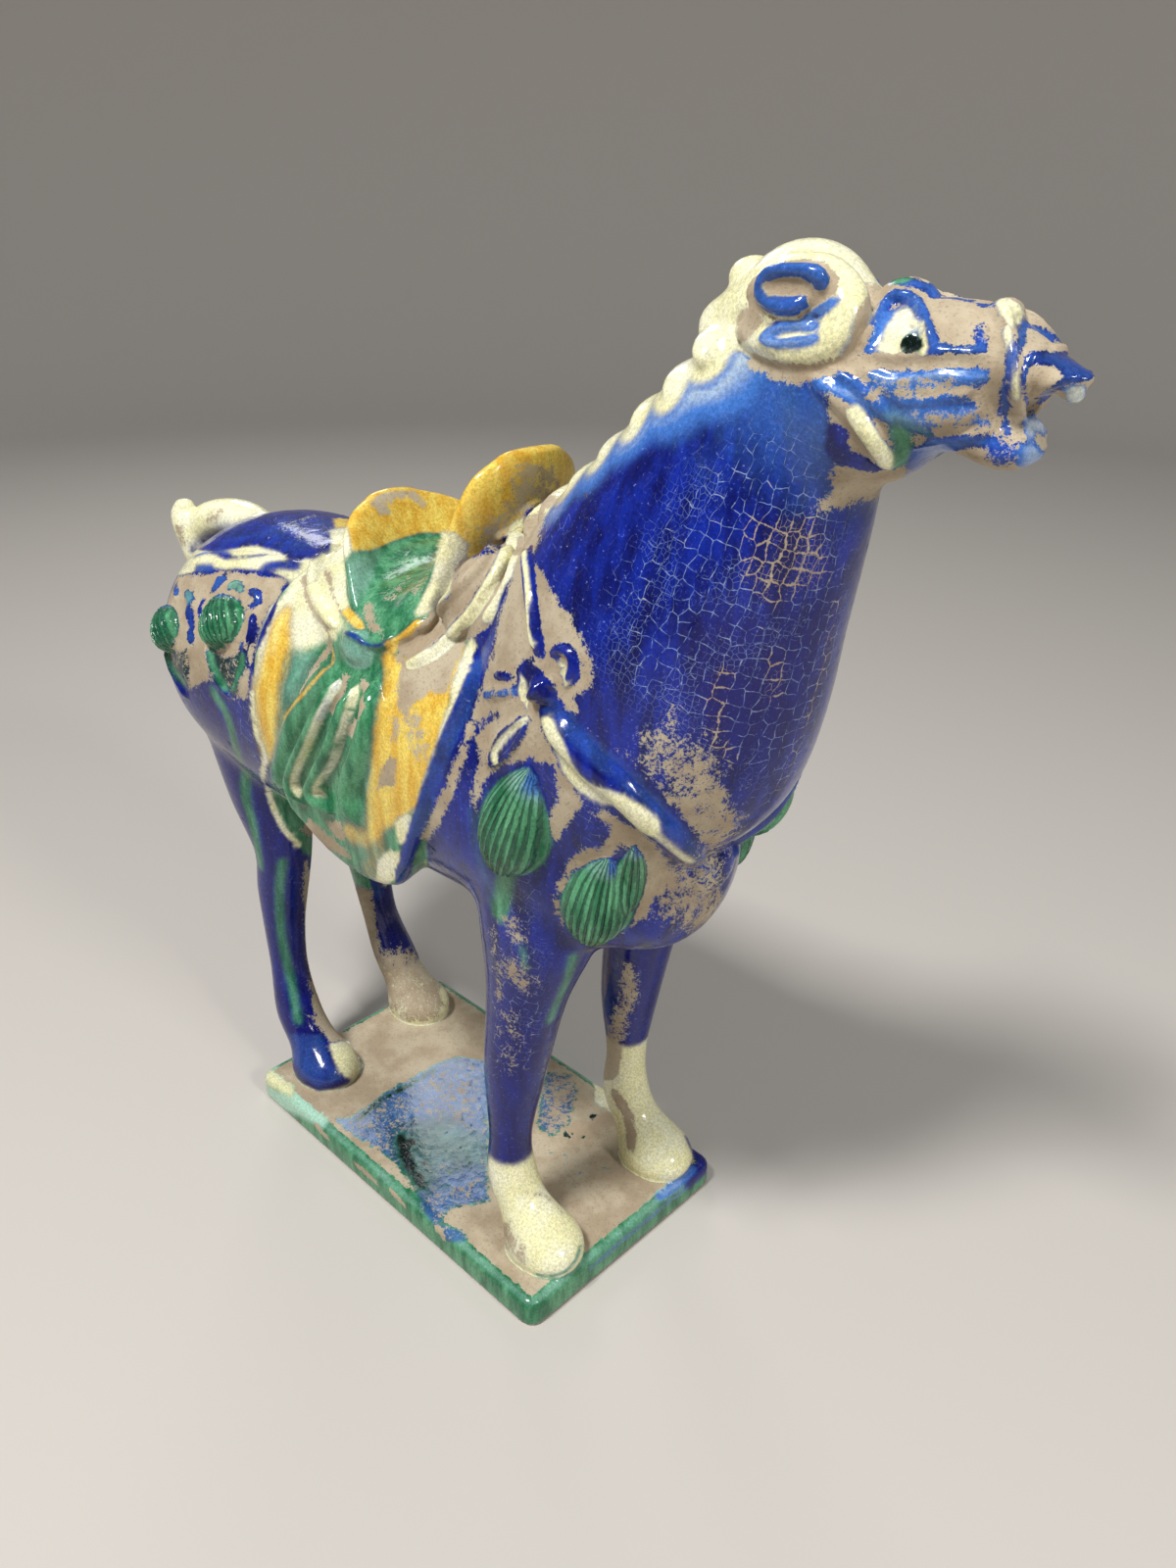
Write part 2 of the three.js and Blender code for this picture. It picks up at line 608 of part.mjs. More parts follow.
// A solid as a named mesh with its glaze's main colour.
function meshOf(name, made, colour) {
  const geometry = geometryOf(made);
  geometry.computeVertexNormals();
  const material = new THREE.MeshStandardMaterial({ color: colour, roughness: 0.2, metalness: 0 });
  const mesh = new THREE.Mesh(geometry, material);
  mesh.name = name;
  return mesh;
}

const figure = new THREE.Group();
figure.add(meshOf("ceramic_horse", join([horse(), slab()]), 0x1c2f9a));
export default figure;
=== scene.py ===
import bpy
import numpy as np
from mathutils import Matrix, Vector
from mathutils.bvhtree import BVHTree


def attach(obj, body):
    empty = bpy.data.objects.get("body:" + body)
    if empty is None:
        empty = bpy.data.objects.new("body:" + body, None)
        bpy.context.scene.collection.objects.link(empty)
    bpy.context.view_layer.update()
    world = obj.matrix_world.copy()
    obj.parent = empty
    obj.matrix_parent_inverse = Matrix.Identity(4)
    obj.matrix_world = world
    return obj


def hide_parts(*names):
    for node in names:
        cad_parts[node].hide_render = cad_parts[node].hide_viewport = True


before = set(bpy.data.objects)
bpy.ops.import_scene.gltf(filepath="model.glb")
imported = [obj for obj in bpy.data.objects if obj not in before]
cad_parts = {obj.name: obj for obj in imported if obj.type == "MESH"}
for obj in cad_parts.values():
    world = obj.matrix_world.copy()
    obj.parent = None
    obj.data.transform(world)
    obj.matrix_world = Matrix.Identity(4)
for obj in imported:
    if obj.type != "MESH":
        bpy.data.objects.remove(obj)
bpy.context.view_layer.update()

# %% [markdown]
# ## The figure and the frame
# The real thing is a cast earthenware horse, about 265 mm tall, standing on its own slab. Horse, saddle,
# straps and slab came out of one pair of moulds, so the whole figure is one skin of clay with glaze on
# it. It is built here in the same order as a potter works. A body is thrown together from swelling tubes,
# the saddle and the hair are added as lumps of clay, everything is fused into one skin, fine relief is
# pressed into that skin, and the glazes are brushed on last. All tables are in millimetres: x is the way
# the horse faces, y its left, z up, and the slab's underside is z 0.

# %% Units and small helpers
MM = 0.001
RIGHT, LEFT = -1, 1


def unit(vectors):
    """Every vector divided by its own length."""
    return vectors / np.maximum(np.linalg.norm(vectors, axis=-1, keepdims=True), 1e-9)


def ease(value, low=0.0, high=1.0):
    """Goes smoothly from 0 at low to 1 at high: 3t^2 - 2t^3, where t is the share of the way."""
    t = np.clip((value - low) / (high - low), 0, 1)
    return t * t * (3 - 2 * t)


def between_rows(rows, share):
    """Reads a table at shares of its length: a cubic through the rows, whose slope at a row is half the step
    from the row before it to the row after it."""
    rows = np.asarray(rows, float)
    place = np.clip(np.asarray(share, float) * (len(rows) - 1), 0, len(rows) - 1 - 1e-9)
    i = place.astype(int)
    f = (place - i)[:, None]
    slope = np.gradient(rows, axis=0)
    start = (1 + 2 * f) * (1 - f) ** 2 * rows[i] + f * (1 - f) ** 2 * slope[i]
    return start + f * f * (3 - 2 * f) * rows[i + 1] + f * f * (f - 1) * slope[i + 1]


# %% [markdown]
# ## The camera
# It stands where the photograph was taken from: close to the horse's right shoulder, a little above its
# head, looking down. The place and tilt were solved from the four corners of the slab. It comes first,
# because some of the relief and most of the brushwork is placed by looking through it.

# %% Camera
EYE = np.array([225.0, -181.3, 271.0])
AHEAD = np.array([-0.6963, 0.7177, 0.0])
PITCH, ROLL = np.radians(26.5), np.radians(0.5)
FOCAL = 1180.0
FRAME_WIDTH, FRAME_HEIGHT = 1200, 1600
SENSOR = 36.0

across = np.array([AHEAD[1], -AHEAD[0], 0.0])
upward = np.sin(PITCH) * AHEAD + np.cos(PITCH) * np.array([0.0, 0.0, 1.0])
gaze = np.cos(PITCH) * AHEAD - np.sin(PITCH) * np.array([0.0, 0.0, 1.0])
right_axis = np.cos(ROLL) * across + np.sin(ROLL) * upward
up_axis = -np.sin(ROLL) * across + np.cos(ROLL) * upward

lens = bpy.data.cameras.new("photo_camera")
lens.sensor_width = SENSOR
lens.lens = FOCAL / FRAME_HEIGHT * SENSOR
lens.clip_start, lens.clip_end = 0.01, 20
camera = bpy.data.objects.new("photo_camera", lens)
camera.matrix_world = Matrix.Translation(Vector(EYE * MM)) @ Matrix(
    np.stack([right_axis, up_axis, -gaze], axis=1).tolist()
).to_4x4()
bpy.context.collection.objects.link(camera)
bpy.context.scene.camera = camera


def in_photo(points):
    """Where points lie in the 1200 by 1600 photograph: their sideways and upward parts over their depth."""
    away = points - EYE
    depth = away @ gaze
    sideways, above = away @ right_axis / depth, away @ up_axis / depth
    return np.stack([FRAME_WIDTH / 2 + FOCAL * sideways, FRAME_HEIGHT / 2 - FOCAL * above], axis=-1)


def sight_lines(pixels):
    """The directions in which the photograph's pixels are seen from the camera."""
    px = np.asarray(pixels, float)
    sideways = (px[:, :1] - FRAME_WIDTH / 2) / FOCAL
    above = (FRAME_HEIGHT / 2 - px[:, 1:2]) / FOCAL
    return unit(gaze + sideways * right_axis + above * up_axis)


print("camera lens", round(lens.lens, 2), "mm")

# %% [markdown]
# ## Tubes of clay
# A horse's trunk, neck, head and legs are tubes whose oval section swells and narrows. One function
# carries an oval along a curve, and a table of rows says how wide and deep the oval is at each place. A
# table is easy to read against the photograph and easy to correct, which is why it is used here rather
# than sculpting by hand.

# %% Surfaces from grids
def closed_grid(rings):
    """Closes a grid of rings: four-sided faces between neighbours, and a fan from each end ring to its
    centre."""
    count, around = rings.shape[:2]
    i = np.arange(around)
    j = (i + 1) % around
    start = np.arange(count - 1)[:, None] * around
    quads = np.stack([start + i, start + j, start + around + j, start + around + i], axis=-1).reshape(-1, 4)
    points = np.concatenate([rings.reshape(-1, 3), rings[:1].mean(1), rings[-1:].mean(1)])
    first, last, top = len(points) - 2, len(points) - 1, (count - 1) * around
    fans = np.concatenate([
        np.stack([np.full(around, first), j, i, i], axis=-1),
        np.stack([np.full(around, last), top + i, top + j, top + j], axis=-1),
    ])
    return points, np.concatenate([quads, fans])


def oval(around, square):
    """A round of cosines and sines, each raised to 2/square: 2 gives an ellipse and more a squarer oval."""
    a = np.linspace(0, 2 * np.pi, around, endpoint=False)
    c, s = np.cos(a), np.sin(a)
    return np.sign(c) * np.abs(c) ** (2 / square), np.sign(s) * np.abs(s) ** (2 / square)


def tube(rows, around=48, steps=48, square=2.1, wrap=0.0, dome=0.6):
    """Carries an oval along the curve through the rows' centres. A row is x, y, z, half-width, reach ahead
    and reach behind. Each end is closed by a quarter round that is dome times as long as it is wide, and
    wrap pulls the sides forward by wrap times y squared."""
    turn = np.radians([80, 60, 40, 20])
    share = np.concatenate([np.zeros(4), np.linspace(0, 1, steps + 1), np.ones(4)])
    out = np.concatenate([-np.sin(turn), np.zeros(steps + 1), np.sin(turn[::-1])])
    scale = np.concatenate([np.cos(turn), np.ones(steps + 1), np.cos(turn[::-1])])
    got = between_rows(rows, share)
    centres, sizes = got[:, :3], got[:, 3:6]
    step = 1e-3
    along = unit(between_rows(rows, np.minimum(share + step, 1))[:, :3]
                 - between_rows(rows, np.maximum(share - step, 0))[:, :3])
    side = unit(np.array([0.0, 1.0, 0.0]) - along * along[:, 1:2])
    ahead = np.cross(side, along)
    centres = centres + along * (out * sizes.min(1) * dome)[:, None]
    c, s = oval(around, square)
    depth = np.where(s > 0, sizes[:, 1:2], sizes[:, 2:3]) * s
    ring = centres[:, None] + side[:, None] * (sizes[:, :1] * c * scale[:, None])[..., None]
    ring = ring + ahead[:, None] * (depth * scale[:, None])[..., None]
    ring[..., 0] += wrap * ring[..., 1] ** 2
    return closed_grid(ring)


def upright_sections(rows, around=64, square=2.15, ends=((0.85, 5), (0.5, 9), (0.1, 11)), steps=60):
    """Ovals that stand upright across the horse. A row is x, centre height, half-width, and the reach above
    and below. Each entry of ends is one more oval past both ends: its scale, and how far out it lies (mm)."""
    got = between_rows(rows, np.linspace(0, 1, steps + 1))
    for scale, out in ends:
        shrink = np.array([1, 1, scale, scale, scale])
        front, rear = np.asarray(rows[-1], float), np.asarray(rows[0], float)
        got = np.vstack([rear * shrink - [out * 0.8, 0, 0, 0, 0], got, front * shrink + [out, 0, 0, 0, 0]])
    c, s = oval(around, square)
    height = got[:, 1:2] + np.where(s > 0, got[:, 3:4], got[:, 4:5]) * s
    return closed_grid(np.stack([np.repeat(got[:, :1], around, 1), got[:, 2:3] * c, height], axis=-1))


def ball(centre, radii, turn=(0, 0, 0), fine=24):
    """A ball stretched by three radii, turned about x, y and z in degrees and moved to its centre."""
    down = np.linspace(0.04, np.pi - 0.04, fine)[:, None]
    round_ = np.linspace(0, 2 * np.pi, 2 * fine, endpoint=False)[None]
    unit_ball = np.stack([np.sin(down) * np.cos(round_), np.sin(down) * np.sin(round_),
                          np.cos(down) * np.ones_like(round_)], axis=-1)
    turned = np.eye(3)
    for axis, angle in zip("XYZ", np.radians(turn)):
        turned = turned @ np.array(Matrix.Rotation(angle, 3, axis))
    return closed_grid((unit_ball * radii) @ turned.T + centre)


# %% [markdown]
# ## The naked horse
# Trunk, neck, head with its open jaws, and four legs. The trunk is a row of upright ovals, because a
# barrel is easiest to judge in slices. Everything else is a tube along its own bone. The tables follow
# those of the solid frame, with the head and shoulders worked out further, so the outline and the stance
# are the frame's.

# %% Body tables
HOOVES = {"fore": [(54, -22), (53, 26)], "hind": [(-52, -22.5), (-57, 21)]}

TRUNK = [
    (-101, 152, 25, 24, 26), (-93, 152, 35, 33, 36), (-76, 152, 40, 38, 41), (-45, 150, 39, 39, 46.5),
    (-10, 149, 37, 38, 42), (25, 149, 37, 41, 40), (50, 147, 36, 44, 37), (68, 142, 31, 36, 31),
    (78, 136, 22, 26, 23),
]
NECK = [
    (56, 0, 142, 32, 26, 44), (65, 0, 168, 34, 38, 44), (75, 0, 194, 31, 37, 37), (86, 0, 216, 25.5, 30, 28),
    (96, 0, 236, 18.5, 23, 20), (101, 0, 246, 14, 13, 15),
]
HEAD = [
    (98, 0, 245, 13, 14, 15), (108, 0, 243.5, 15.5, 17, 18), (118, 0, 243.5, 15, 15.3, 14.5),
    (127, 0, 246, 12.5, 10.8, 13), (136, 0, 247, 10.5, 10.5, 11.8),
]
UPPER_JAW = [
    (130, 0, 250.5, 11, 8, 8), (138, 0, 250.3, 9.8, 7.2, 6.8), (144, 0, 249.7, 7.6, 5.2, 3.4),
    (149, 0, 248.9, 5, 2.3, 2), (153.4, 0, 248.7, 1.8, 1, 0.9),
]
LOWER_JAW = [
    (128, 0, 240.5, 10, 4.6, 5), (136, 0, 239, 9, 3.2, 4.5), (141.5, 0, 237.6, 7.6, 3.8, 2.4),
    (146, 0, 237.8, 6, 2.4, 1.8),
]


def foreleg(x, y):
    """Shoulder, forearm, knee, cannon, fetlock and hoof of a foreleg whose hoof stands at (x, y)."""
    return [
        (x - 1, y * 0.72, 146, 15, 20, 20), (x - 3, y * 0.84, 118, 14, 16, 17),
        (x - 6, y * 0.92, 94, 10, 11, 11), (x - 10, y * 0.96, 66, 8.3, 9, 8),
        (x - 12, y, 44, 6, 6, 6), (x - 12, y, 30, 6.8, 7, 7.5), (x - 7, y, 21, 7, 8, 7),
        (x, y, 12, 10.5, 11, 11),
    ]


def hindleg(x, y):
    """Thigh, gaskin, hock, cannon, fetlock and hoof of a hind leg whose hoof stands at (x, y)."""
    return [
        (x - 24, y * 0.75, 136, 16, 22, 20), (x - 21, y * 0.78, 108, 12.5, 15, 14),
        (x - 17, y * 0.8, 88, 9, 9.5, 9.5), (x - 19.5, y * 0.84, 72, 7.8, 7.5, 9.5),
        (x - 19, y * 0.89, 58, 6.5, 7, 7.5), (x - 17, y * 0.94, 43, 6, 6.5, 6.5), (x - 12.5, y, 29, 7, 8, 8),
        (x - 6, y, 20, 7.5, 8, 7.5), (x, y, 12, 10, 11, 11),
    ]


# Balls that fill out a foot: how far ahead of the hoof's centre, how high, and the three radii.
TOE = (3.5, 13, (9, 9.6, 6.5))
FETLOCK = (-10, 23, (5.5, 6.4, 6))
HOOF = (1, 12.5, (12.5, 10.5, 8))


def foot_ball(at, ahead, height, radii):
    """One of those balls, for the hoof that stands at (x, y)."""
    return ball((at[0] + ahead, at[1], height), radii)


ALL_HOOVES = HOOVES["fore"] + HOOVES["hind"]
body_parts = [upright_sections(TRUNK), tube(NECK, around=72), tube(HEAD), tube(UPPER_JAW), tube(LOWER_JAW)]
for at in ALL_HOOVES:
    body_parts += [foot_ball(at, *TOE), foot_ball(at, *FETLOCK)]
body_parts += [tube(foreleg(*at), around=40, steps=80) for at in HOOVES["fore"]]
body_parts += [tube(hindleg(*at), around=40, steps=80) for at in HOOVES["hind"]]
body_parts += [foot_ball(at, *HOOF) for at in ALL_HOOVES]
print("body parts", len(body_parts), "points", sum(len(points) for points, _ in body_parts))

# %% [markdown]
# ## Fusing the clay
# Real clay parts are luted together with slip and smoothed with a wet finger until no joint shows. A
# voxel remesh does the luting: it wraps one skin round everything that overlaps. The wet finger is a
# small smoothing step of our own. A point is drawn to the middle of its neighbours, strongly where the
# surface is hollow and hardly at all where it bulges, so that joints fill up like fillets and slim legs
# don't waste away.

# %% Fuse and smooth
def mesh_of(name, points, faces):
    """A Blender mesh from points in millimetres and four-sided faces, whose last corner may repeat."""
    mesh = bpy.data.meshes.new(name)
    repeated = faces[:, 3] == faces[:, 2]
    corners = np.where(np.repeat(repeated[:, None], 4, 1) & (np.arange(4) == 3), -1, faces).ravel()
    corners = corners[corners >= 0]
    sizes = np.where(repeated, 3, 4)
    mesh.vertices.add(len(points))
    mesh.vertices.foreach_set("co", (points * MM).astype(np.float32).ravel())
    mesh.loops.add(len(corners))
    mesh.loops.foreach_set("vertex_index", corners.astype(np.int32))
    mesh.polygons.add(len(faces))
    mesh.polygons.foreach_set("loop_start", np.concatenate([[0], np.cumsum(sizes)[:-1]]).astype(np.int32))
    mesh.update(calc_edges=True)
    return mesh


def arrays_of(mesh):
    """The points in millimetres, the faces' corners, and the edges of a mesh."""
    points = np.empty(len(mesh.vertices) * 3, np.float32)
    mesh.vertices.foreach_get("co", points)
    corners = np.empty(len(mesh.loops), np.int32)
    mesh.loops.foreach_get("vertex_index", corners)
    edges = np.empty(len(mesh.edges) * 2, np.int32)
    mesh.edges.foreach_get("vertices", edges)
    return points.reshape(-1, 3).astype(float) / MM, corners, edges.reshape(-1, 2)


def with_modifier(mesh, kind, **settings):
    """The mesh after one modifier, worked out on a scratch object that is then thrown away."""
    thing = bpy.data.objects.new("scratch", mesh)
    bpy.context.collection.objects.link(thing)
    modifier = thing.modifiers.new(kind.title(), kind)
    for key, value in settings.items():
        setattr(modifier, key, value)
    made = bpy.data.meshes.new_from_object(thing.evaluated_get(bpy.context.evaluated_depsgraph_get()))
    bpy.data.objects.remove(thing)
    return made


def fused(parts, voxel):
    """One skin round all the parts: quads whose sides are about voxel millimetres long."""
    shift = np.cumsum([0] + [len(points) for points, _ in parts[:-1]])
    points = np.concatenate([points for points, _ in parts])
    faces = np.concatenate([faces + offset for (_, faces), offset in zip(parts, shift)])
    made = with_modifier(mesh_of("parts", points, faces), "REMESH", mode="VOXEL", voxel_size=voxel * MM)
    points, corners, _ = arrays_of(made)
    return points, corners.reshape(-1, 4)


def edges_of(faces):
    """Every side of every four-sided face, once."""
    sides = np.sort(np.concatenate([faces[:, [k, (k + 1) % 4]] for k in range(4)]), axis=1)
    code = np.unique(sides[:, 0].astype(np.int64) * (faces.max() + 1) + sides[:, 1])
    return np.stack([code // (faces.max() + 1), code % (faces.max() + 1)], axis=1)


def summed(place, values, count):
    """Adds up the rows of values whose place is the same, for every place below count."""
    return np.stack([np.bincount(place, column, count) for column in values.T], axis=1)


def gathered(values, edges, count):
    """For every point, the mean of its neighbours' values."""
    ends = np.concatenate([edges, edges[:, ::-1]])
    return summed(ends[:, 0], values[ends[:, 1]], count) / np.bincount(ends[:, 0], minlength=count)[:, None]


def normals_of(points, faces):
    """Every point's outward direction: the cross products of its faces' diagonals, added up."""
    p = points[faces]
    flat = np.cross(p[:, 2] - p[:, 0], p[:, 3] - p[:, 1])
    return unit(summed(faces.ravel(), np.repeat(flat, 4, axis=0), len(points)))


def smoothed(points, faces, times, hollows=0.5, crests=0.05):
    """Draws every point along its normal to its neighbours' middle: by the share hollows where the surface is
    hollow, and by the share crests where it bulges."""
    edges = edges_of(faces)
    for _ in range(times):
        normals = normals_of(points, faces)
        pull = gathered(points, edges, len(points)) - points
        rise = (pull * normals).sum(1)
        slide = pull - normals * rise[:, None]
        points = points + 0.3 * slide + normals * (rise * np.where(rise > 0, hollows, crests))[:, None]
    return points


BODY_VOXEL = 1.5
body_points, body_faces = fused(body_parts, BODY_VOXEL)
body_points = smoothed(body_points, body_faces, times=24, hollows=0.6, crests=0.06)
body = (body_points, body_faces)
print("naked horse", len(body_points), "points")

# %% [markdown]
# ## Saddle cloth
# The cloth is a thick felt that hangs over the back. On the real figure it is a low step in the clay with
# a rounded edge. It is worked out from the trunk's own table: at every place across and down, the cloth
# lies a fixed height above the trunk, and that height falls off in a quarter round towards the edges.

# %% Cloth
CLOTH_LIFT = 2.6
CLOTH_EDGES = [(0, -34, 50), (0.25, -36, 48), (0.5, -37, 42), (0.75, -34, 35), (1, -26, 24)]
HEM = [(0, 124), (0.3, 114.5), (0.6, 113), (0.85, 117), (1, 126)]
HANG_FROM = 0.75
SQUARE = 2.15
CLOTH_LENGTH, CLOTH_DROP, CLOTH_ROUND = 75, 95, 2.4  # rear to front, spine to hem, width of the rounded edge
TRUNK_BELOW = 38


def read_at(rows, place):
    """Reads a table whose rows begin with their own place: a cubic through them, as between_rows draws."""
    rows = np.asarray(rows, float)
    share = np.interp(np.ravel(place), rows[:, 0], np.linspace(0, 1, len(rows)))
    return between_rows(rows[:, 1:], share).reshape(np.shape(place) + (-1,))


def trunk_at(x):
    """Centre height, half-width and reach above of the trunk at x."""
    return [read_at(TRUNK, x)[..., k] for k in range(3)]


def cloth_reach(x, z):
    """How far out from the middle the cloth hangs at (x, z): the trunk's own half-width, drawn in a little
    below the centre, and following the trunk's oval above it."""
    centre, width, above = trunk_at(x)
    over = np.clip((z - centre) / above, 0, 1)
    under = np.clip((centre - z) / TRUNK_BELOW, 0, 1.5)
    return np.where(z < centre, width * (1 - 0.1 * under ** 2), width * (1 - over ** SQUARE) ** (1 / SQUARE))


def cloth_surface(s, t, lift):
    """The cloth's face: s runs from rear to front, and t from the hem on the right (-1) over the spine (0) to
    the hem on the left (1). Up to HANG_FROM it follows the trunk's oval, and then it hangs down."""
    down = np.abs(t)
    rear, front = np.moveaxis(read_at(CLOTH_EDGES, down), -1, 0)
    x = rear + (front - rear) * s
    centre, width, above = trunk_at(x)
    over = np.minimum(down / HANG_FROM, 1) * np.pi / 2
    round_y = (width + lift) * np.sin(over) ** (2 / SQUARE)
    round_z = centre + (above + lift) * np.cos(over) ** (2 / SQUARE)
    hang_z = centre + (read_at(HEM, s)[..., 0] - centre) * (down - HANG_FROM) / (1 - HANG_FROM)
    hangs = down > HANG_FROM
    y = np.where(hangs, cloth_reach(x, hang_z) + lift, round_y)
    return np.stack([x, np.sign(t) * y, np.where(hangs, hang_z, round_z)], axis=-1)


def cloth():
    """The cloth as a closed form. Its lift falls from CLOTH_LIFT to 1 mm under the trunk's face in a quarter
    round CLOTH_ROUND wide at every edge, and its inner side runs through the middle of the horse."""
    s = 0.5 - 0.5 * np.cos(np.linspace(0, np.pi, 90))
    t = np.sin(np.linspace(-np.pi / 2, np.pi / 2, 160))
    grid_s, grid_t = np.meshgrid(s, t, indexing="ij")
    edge = np.minimum(np.minimum(grid_s, 1 - grid_s) * CLOTH_LENGTH, (1 - np.abs(grid_t)) * CLOTH_DROP)
    inward = 1 - np.clip(edge / CLOTH_ROUND, 0, 1)
    lift = -1 + (CLOTH_LIFT + 1) * np.sqrt(1 - inward ** 2)
    face = cloth_surface(grid_s, grid_t, lift)
    low = face[:, [-1, -1, 0, 0]] * [1, 0, 1] + np.array([[0, 20, 4], [0, 8, 26], [0, -8, 26], [0, -20, 4]])
    return closed_grid(np.concatenate([face, low], axis=1))


# %% [markdown]
# ## Saddle
# A Tang saddle is two upright boards, a tall pommel in front and a lower cantle behind, with a dished
# seat between them. A board is a flat tube whose sides are pulled forward or back by a parabola.

# %% Saddle boards and seat
POMMEL = [
    (19, 0, 176, 27, 6, 7), (22.5, 0, 190, 24, 5, 6), (26, 0, 202, 20.5, 3.8, 4.5),
    (28.5, 0, 211, 18.5, 3.2, 3.6), (30, 0, 217.5, 15.5, 2.8, 3), (30.8, 0, 221.8, 9.5, 2, 2),
]
CANTLE = [
    (-15, 0, 180, 31, 7, 5), (-19, 0, 190, 27, 5.5, 4.5), (-22, 0, 197, 23, 4, 4),
    (-23.5, 0, 201.5, 16, 3, 3), (-24.2, 0, 204, 8, 2, 2),
]
SEAT = [
    (-24, 176, 27, 20, 12), (-12, 175, 32, 18, 12), (0, 174, 34, 17, 12), (12, 175, 33, 20, 12),
    (22, 177, 28, 24, 12),
]
POMMEL_WRAP, CANTLE_WRAP = -0.008, 0.018


def saddle():
    """The two boards and the seat."""
    knots = [ball((4, side * 30.5, 177), (7, 5, 5.5), (side * 25, 0, 0)) for side in (RIGHT, LEFT)]
    return [
        upright_sections(SEAT, square=2.3, ends=()), tube(POMMEL, wrap=POMMEL_WRAP, steps=60, around=64),
        tube(CANTLE, wrap=CANTLE_WRAP, steps=60, around=64), *knots,
    ]


# %% [markdown]
# ## Mane, forelock, ears and tail
# The mane is a row of combed lobes down the crest. Its section swells and shrinks with a sine along the
# neck. The forelock is tied into a crown on the poll, and a roll of hair curls down in front of each ear
# and back under it. Each ear is a leaf with a thick rim bent round its hollow like a letter C. The tail
# is bound up short and turned to the right.

# %% Hair, ears and tail
CREST = [(93, 0, 251), (84, 0, 241), (73, 0, 231), (61, 0, 220), (49, 0, 211), (42, 0, 206)]
MANE_LOBES, MANE_WIDTH, MANE_HEIGHT = 7, 15.5, 7.5
CROWN = [
    (85, 0, 250, 8, 8, 7), (90, 0, 252, 9, 8, 8), (95, 0, 255, 10.5, 9, 8), (101, 0, 258, 10.5, 10, 8.8),
    (106.5, 0, 255.5, 8.6, 9, 8.2), (111, 0, 251, 6, 7, 7),
]
TAIL = [
    (-86, -1, 181, 7, 6, 6), (-97, -3, 185, 7, 5.5, 5.5), (-106, -7, 184, 6.5, 5.5, 5.5),
    (-112, -10, 178, 5.5, 5, 5),
]
TUFT = [
    (-107, -11, 166, 4, 4, 4), (-111, -11, 176, 5, 5, 5), (-114, -12, 184, 4.5, 4.5, 4.5),
    (-114, -12, 188, 3, 3, 3),
]
SET_BACK = {RIGHT: (0, 0), LEFT: (-9, -3)}  # the left ear and roll lie further back and lower (mm)


def roll(side):
    """The roll of hair that comes off the crown, turns down before the ear and runs back under it."""
    rows = [
        (103, 7, 261, 4, 4, 4), (110.5, 9, 260.4, 4.2, 4.2, 4.2), (115.8, 11, 257, 4, 4, 4),
        (115.4, 12.8, 252.6, 3.5, 3.5, 3.5), (110, 14, 250.4, 3, 2.8, 2.8), (103, 13.6, 251.2, 2.6, 2.4, 2.4),
        (97, 12, 252.5, 2.2, 2, 2),
    ]
    return [(x + SET_BACK[side][0], side * y, z + SET_BACK[side][1], *sizes) for x, y, z, *sizes in rows]


def mane():
    """Ovals across the crest line, swelling and shrinking with a sine wave, one wave for each lobe."""
    share = np.linspace(0, 1, 140)
    centre = between_rows(CREST, share)
    along = unit(np.gradient(centre, axis=0))
    up = np.cross(np.array([0.0, 1.0, 0.0]), along)
    swell = 0.88 - 0.12 * np.cos(2 * np.pi * MANE_LOBES * share)
    swell = swell * (1 - 0.4 * ease(share, 0.93, 1))
    c, s = oval(48, 2)
    rings = centre[:, None] + np.array([0.0, 1.0, 0.0]) * (MANE_WIDTH * swell[:, None] * c)[..., None]
    height = np.where(s > 0, MANE_HEIGHT * swell[:, None], 5) * s
    return closed_grid(rings + up[:, None] * height[..., None])


def bead_of_clay(places, radius, steps=40, around=16):
    """A round roll of clay along a curve through the places, with one radius or one for each place."""
    places = np.asarray(places, float)
    sizes = np.broadcast_to(np.asarray(radius, float), len(places))[:, None].repeat(3, axis=1)
    return tube(np.hstack([places, sizes]), around=around, steps=steps, square=2)


def ear(side):
    """A leaf, and a C-shaped rim round its outer face that is open toward the brow."""
    back, down = SET_BACK[side]
    leaf = ball((106 + back, side * 13, 259.2 + down), (9, 2.6, 4), (side * 8, -4, side * 5))
    rim = [
        (113.6, 15, 260.6), (113.2, 15.3, 261.9), (111.2, 15.8, 262.5), (108.4, 16, 262.6),
        (105.6, 15.9, 262.4), (103.4, 15.5, 261.7), (102, 15.1, 260.2), (102.3, 15.2, 258.5),
        (104.3, 15.8, 257.3), (107, 16.2, 256.9), (109.6, 16.1, 257.2), (111, 15.8, 258),
    ]
    rim = (np.array(rim) + [back, 0, down]) * [1, side, 1]
    return [leaf, bead_of_clay(rim, (1.1, 1.4, 1.2, 1, 1, 1.1, 1.2, 1.2, 1.1, 1.1, 1.2, 0.8))]


mane_part = mane()
hair = [mane_part, tube(CROWN), tube(TAIL), tube(TUFT)]
for side in (RIGHT, LEFT):
    hair += [tube(roll(side), around=32), *ear(side)]
FOREHEAD = ball((120.5, 0, 258.2), (5.2, 4, 3.3))
KNOB = ball((89.3, 0, 260.2), (4.4, 5, 3.6))
UNDER_EARS = [ball((105.5 + back, side * 12.4, 254.6 + down), (8, 3.2, 3.6))
              for side, (back, down) in SET_BACK.items()]
NOSEBAND_KNOT = ball((138, -1, 257), (2.6, 4, 2.4))
TEETH = [ball((150.2, 0, 246.5), (1.8, 2.2, 1.5)), ball((144.2, 0, 239.6), (2, 4, 1.4))]
PENDANT = ball((86, 0, 138), (6, 8, 8), (0, 20, 0))
WITHERS = ball((37, 0, 194), (11, 17, 13), (0, 30, 0))
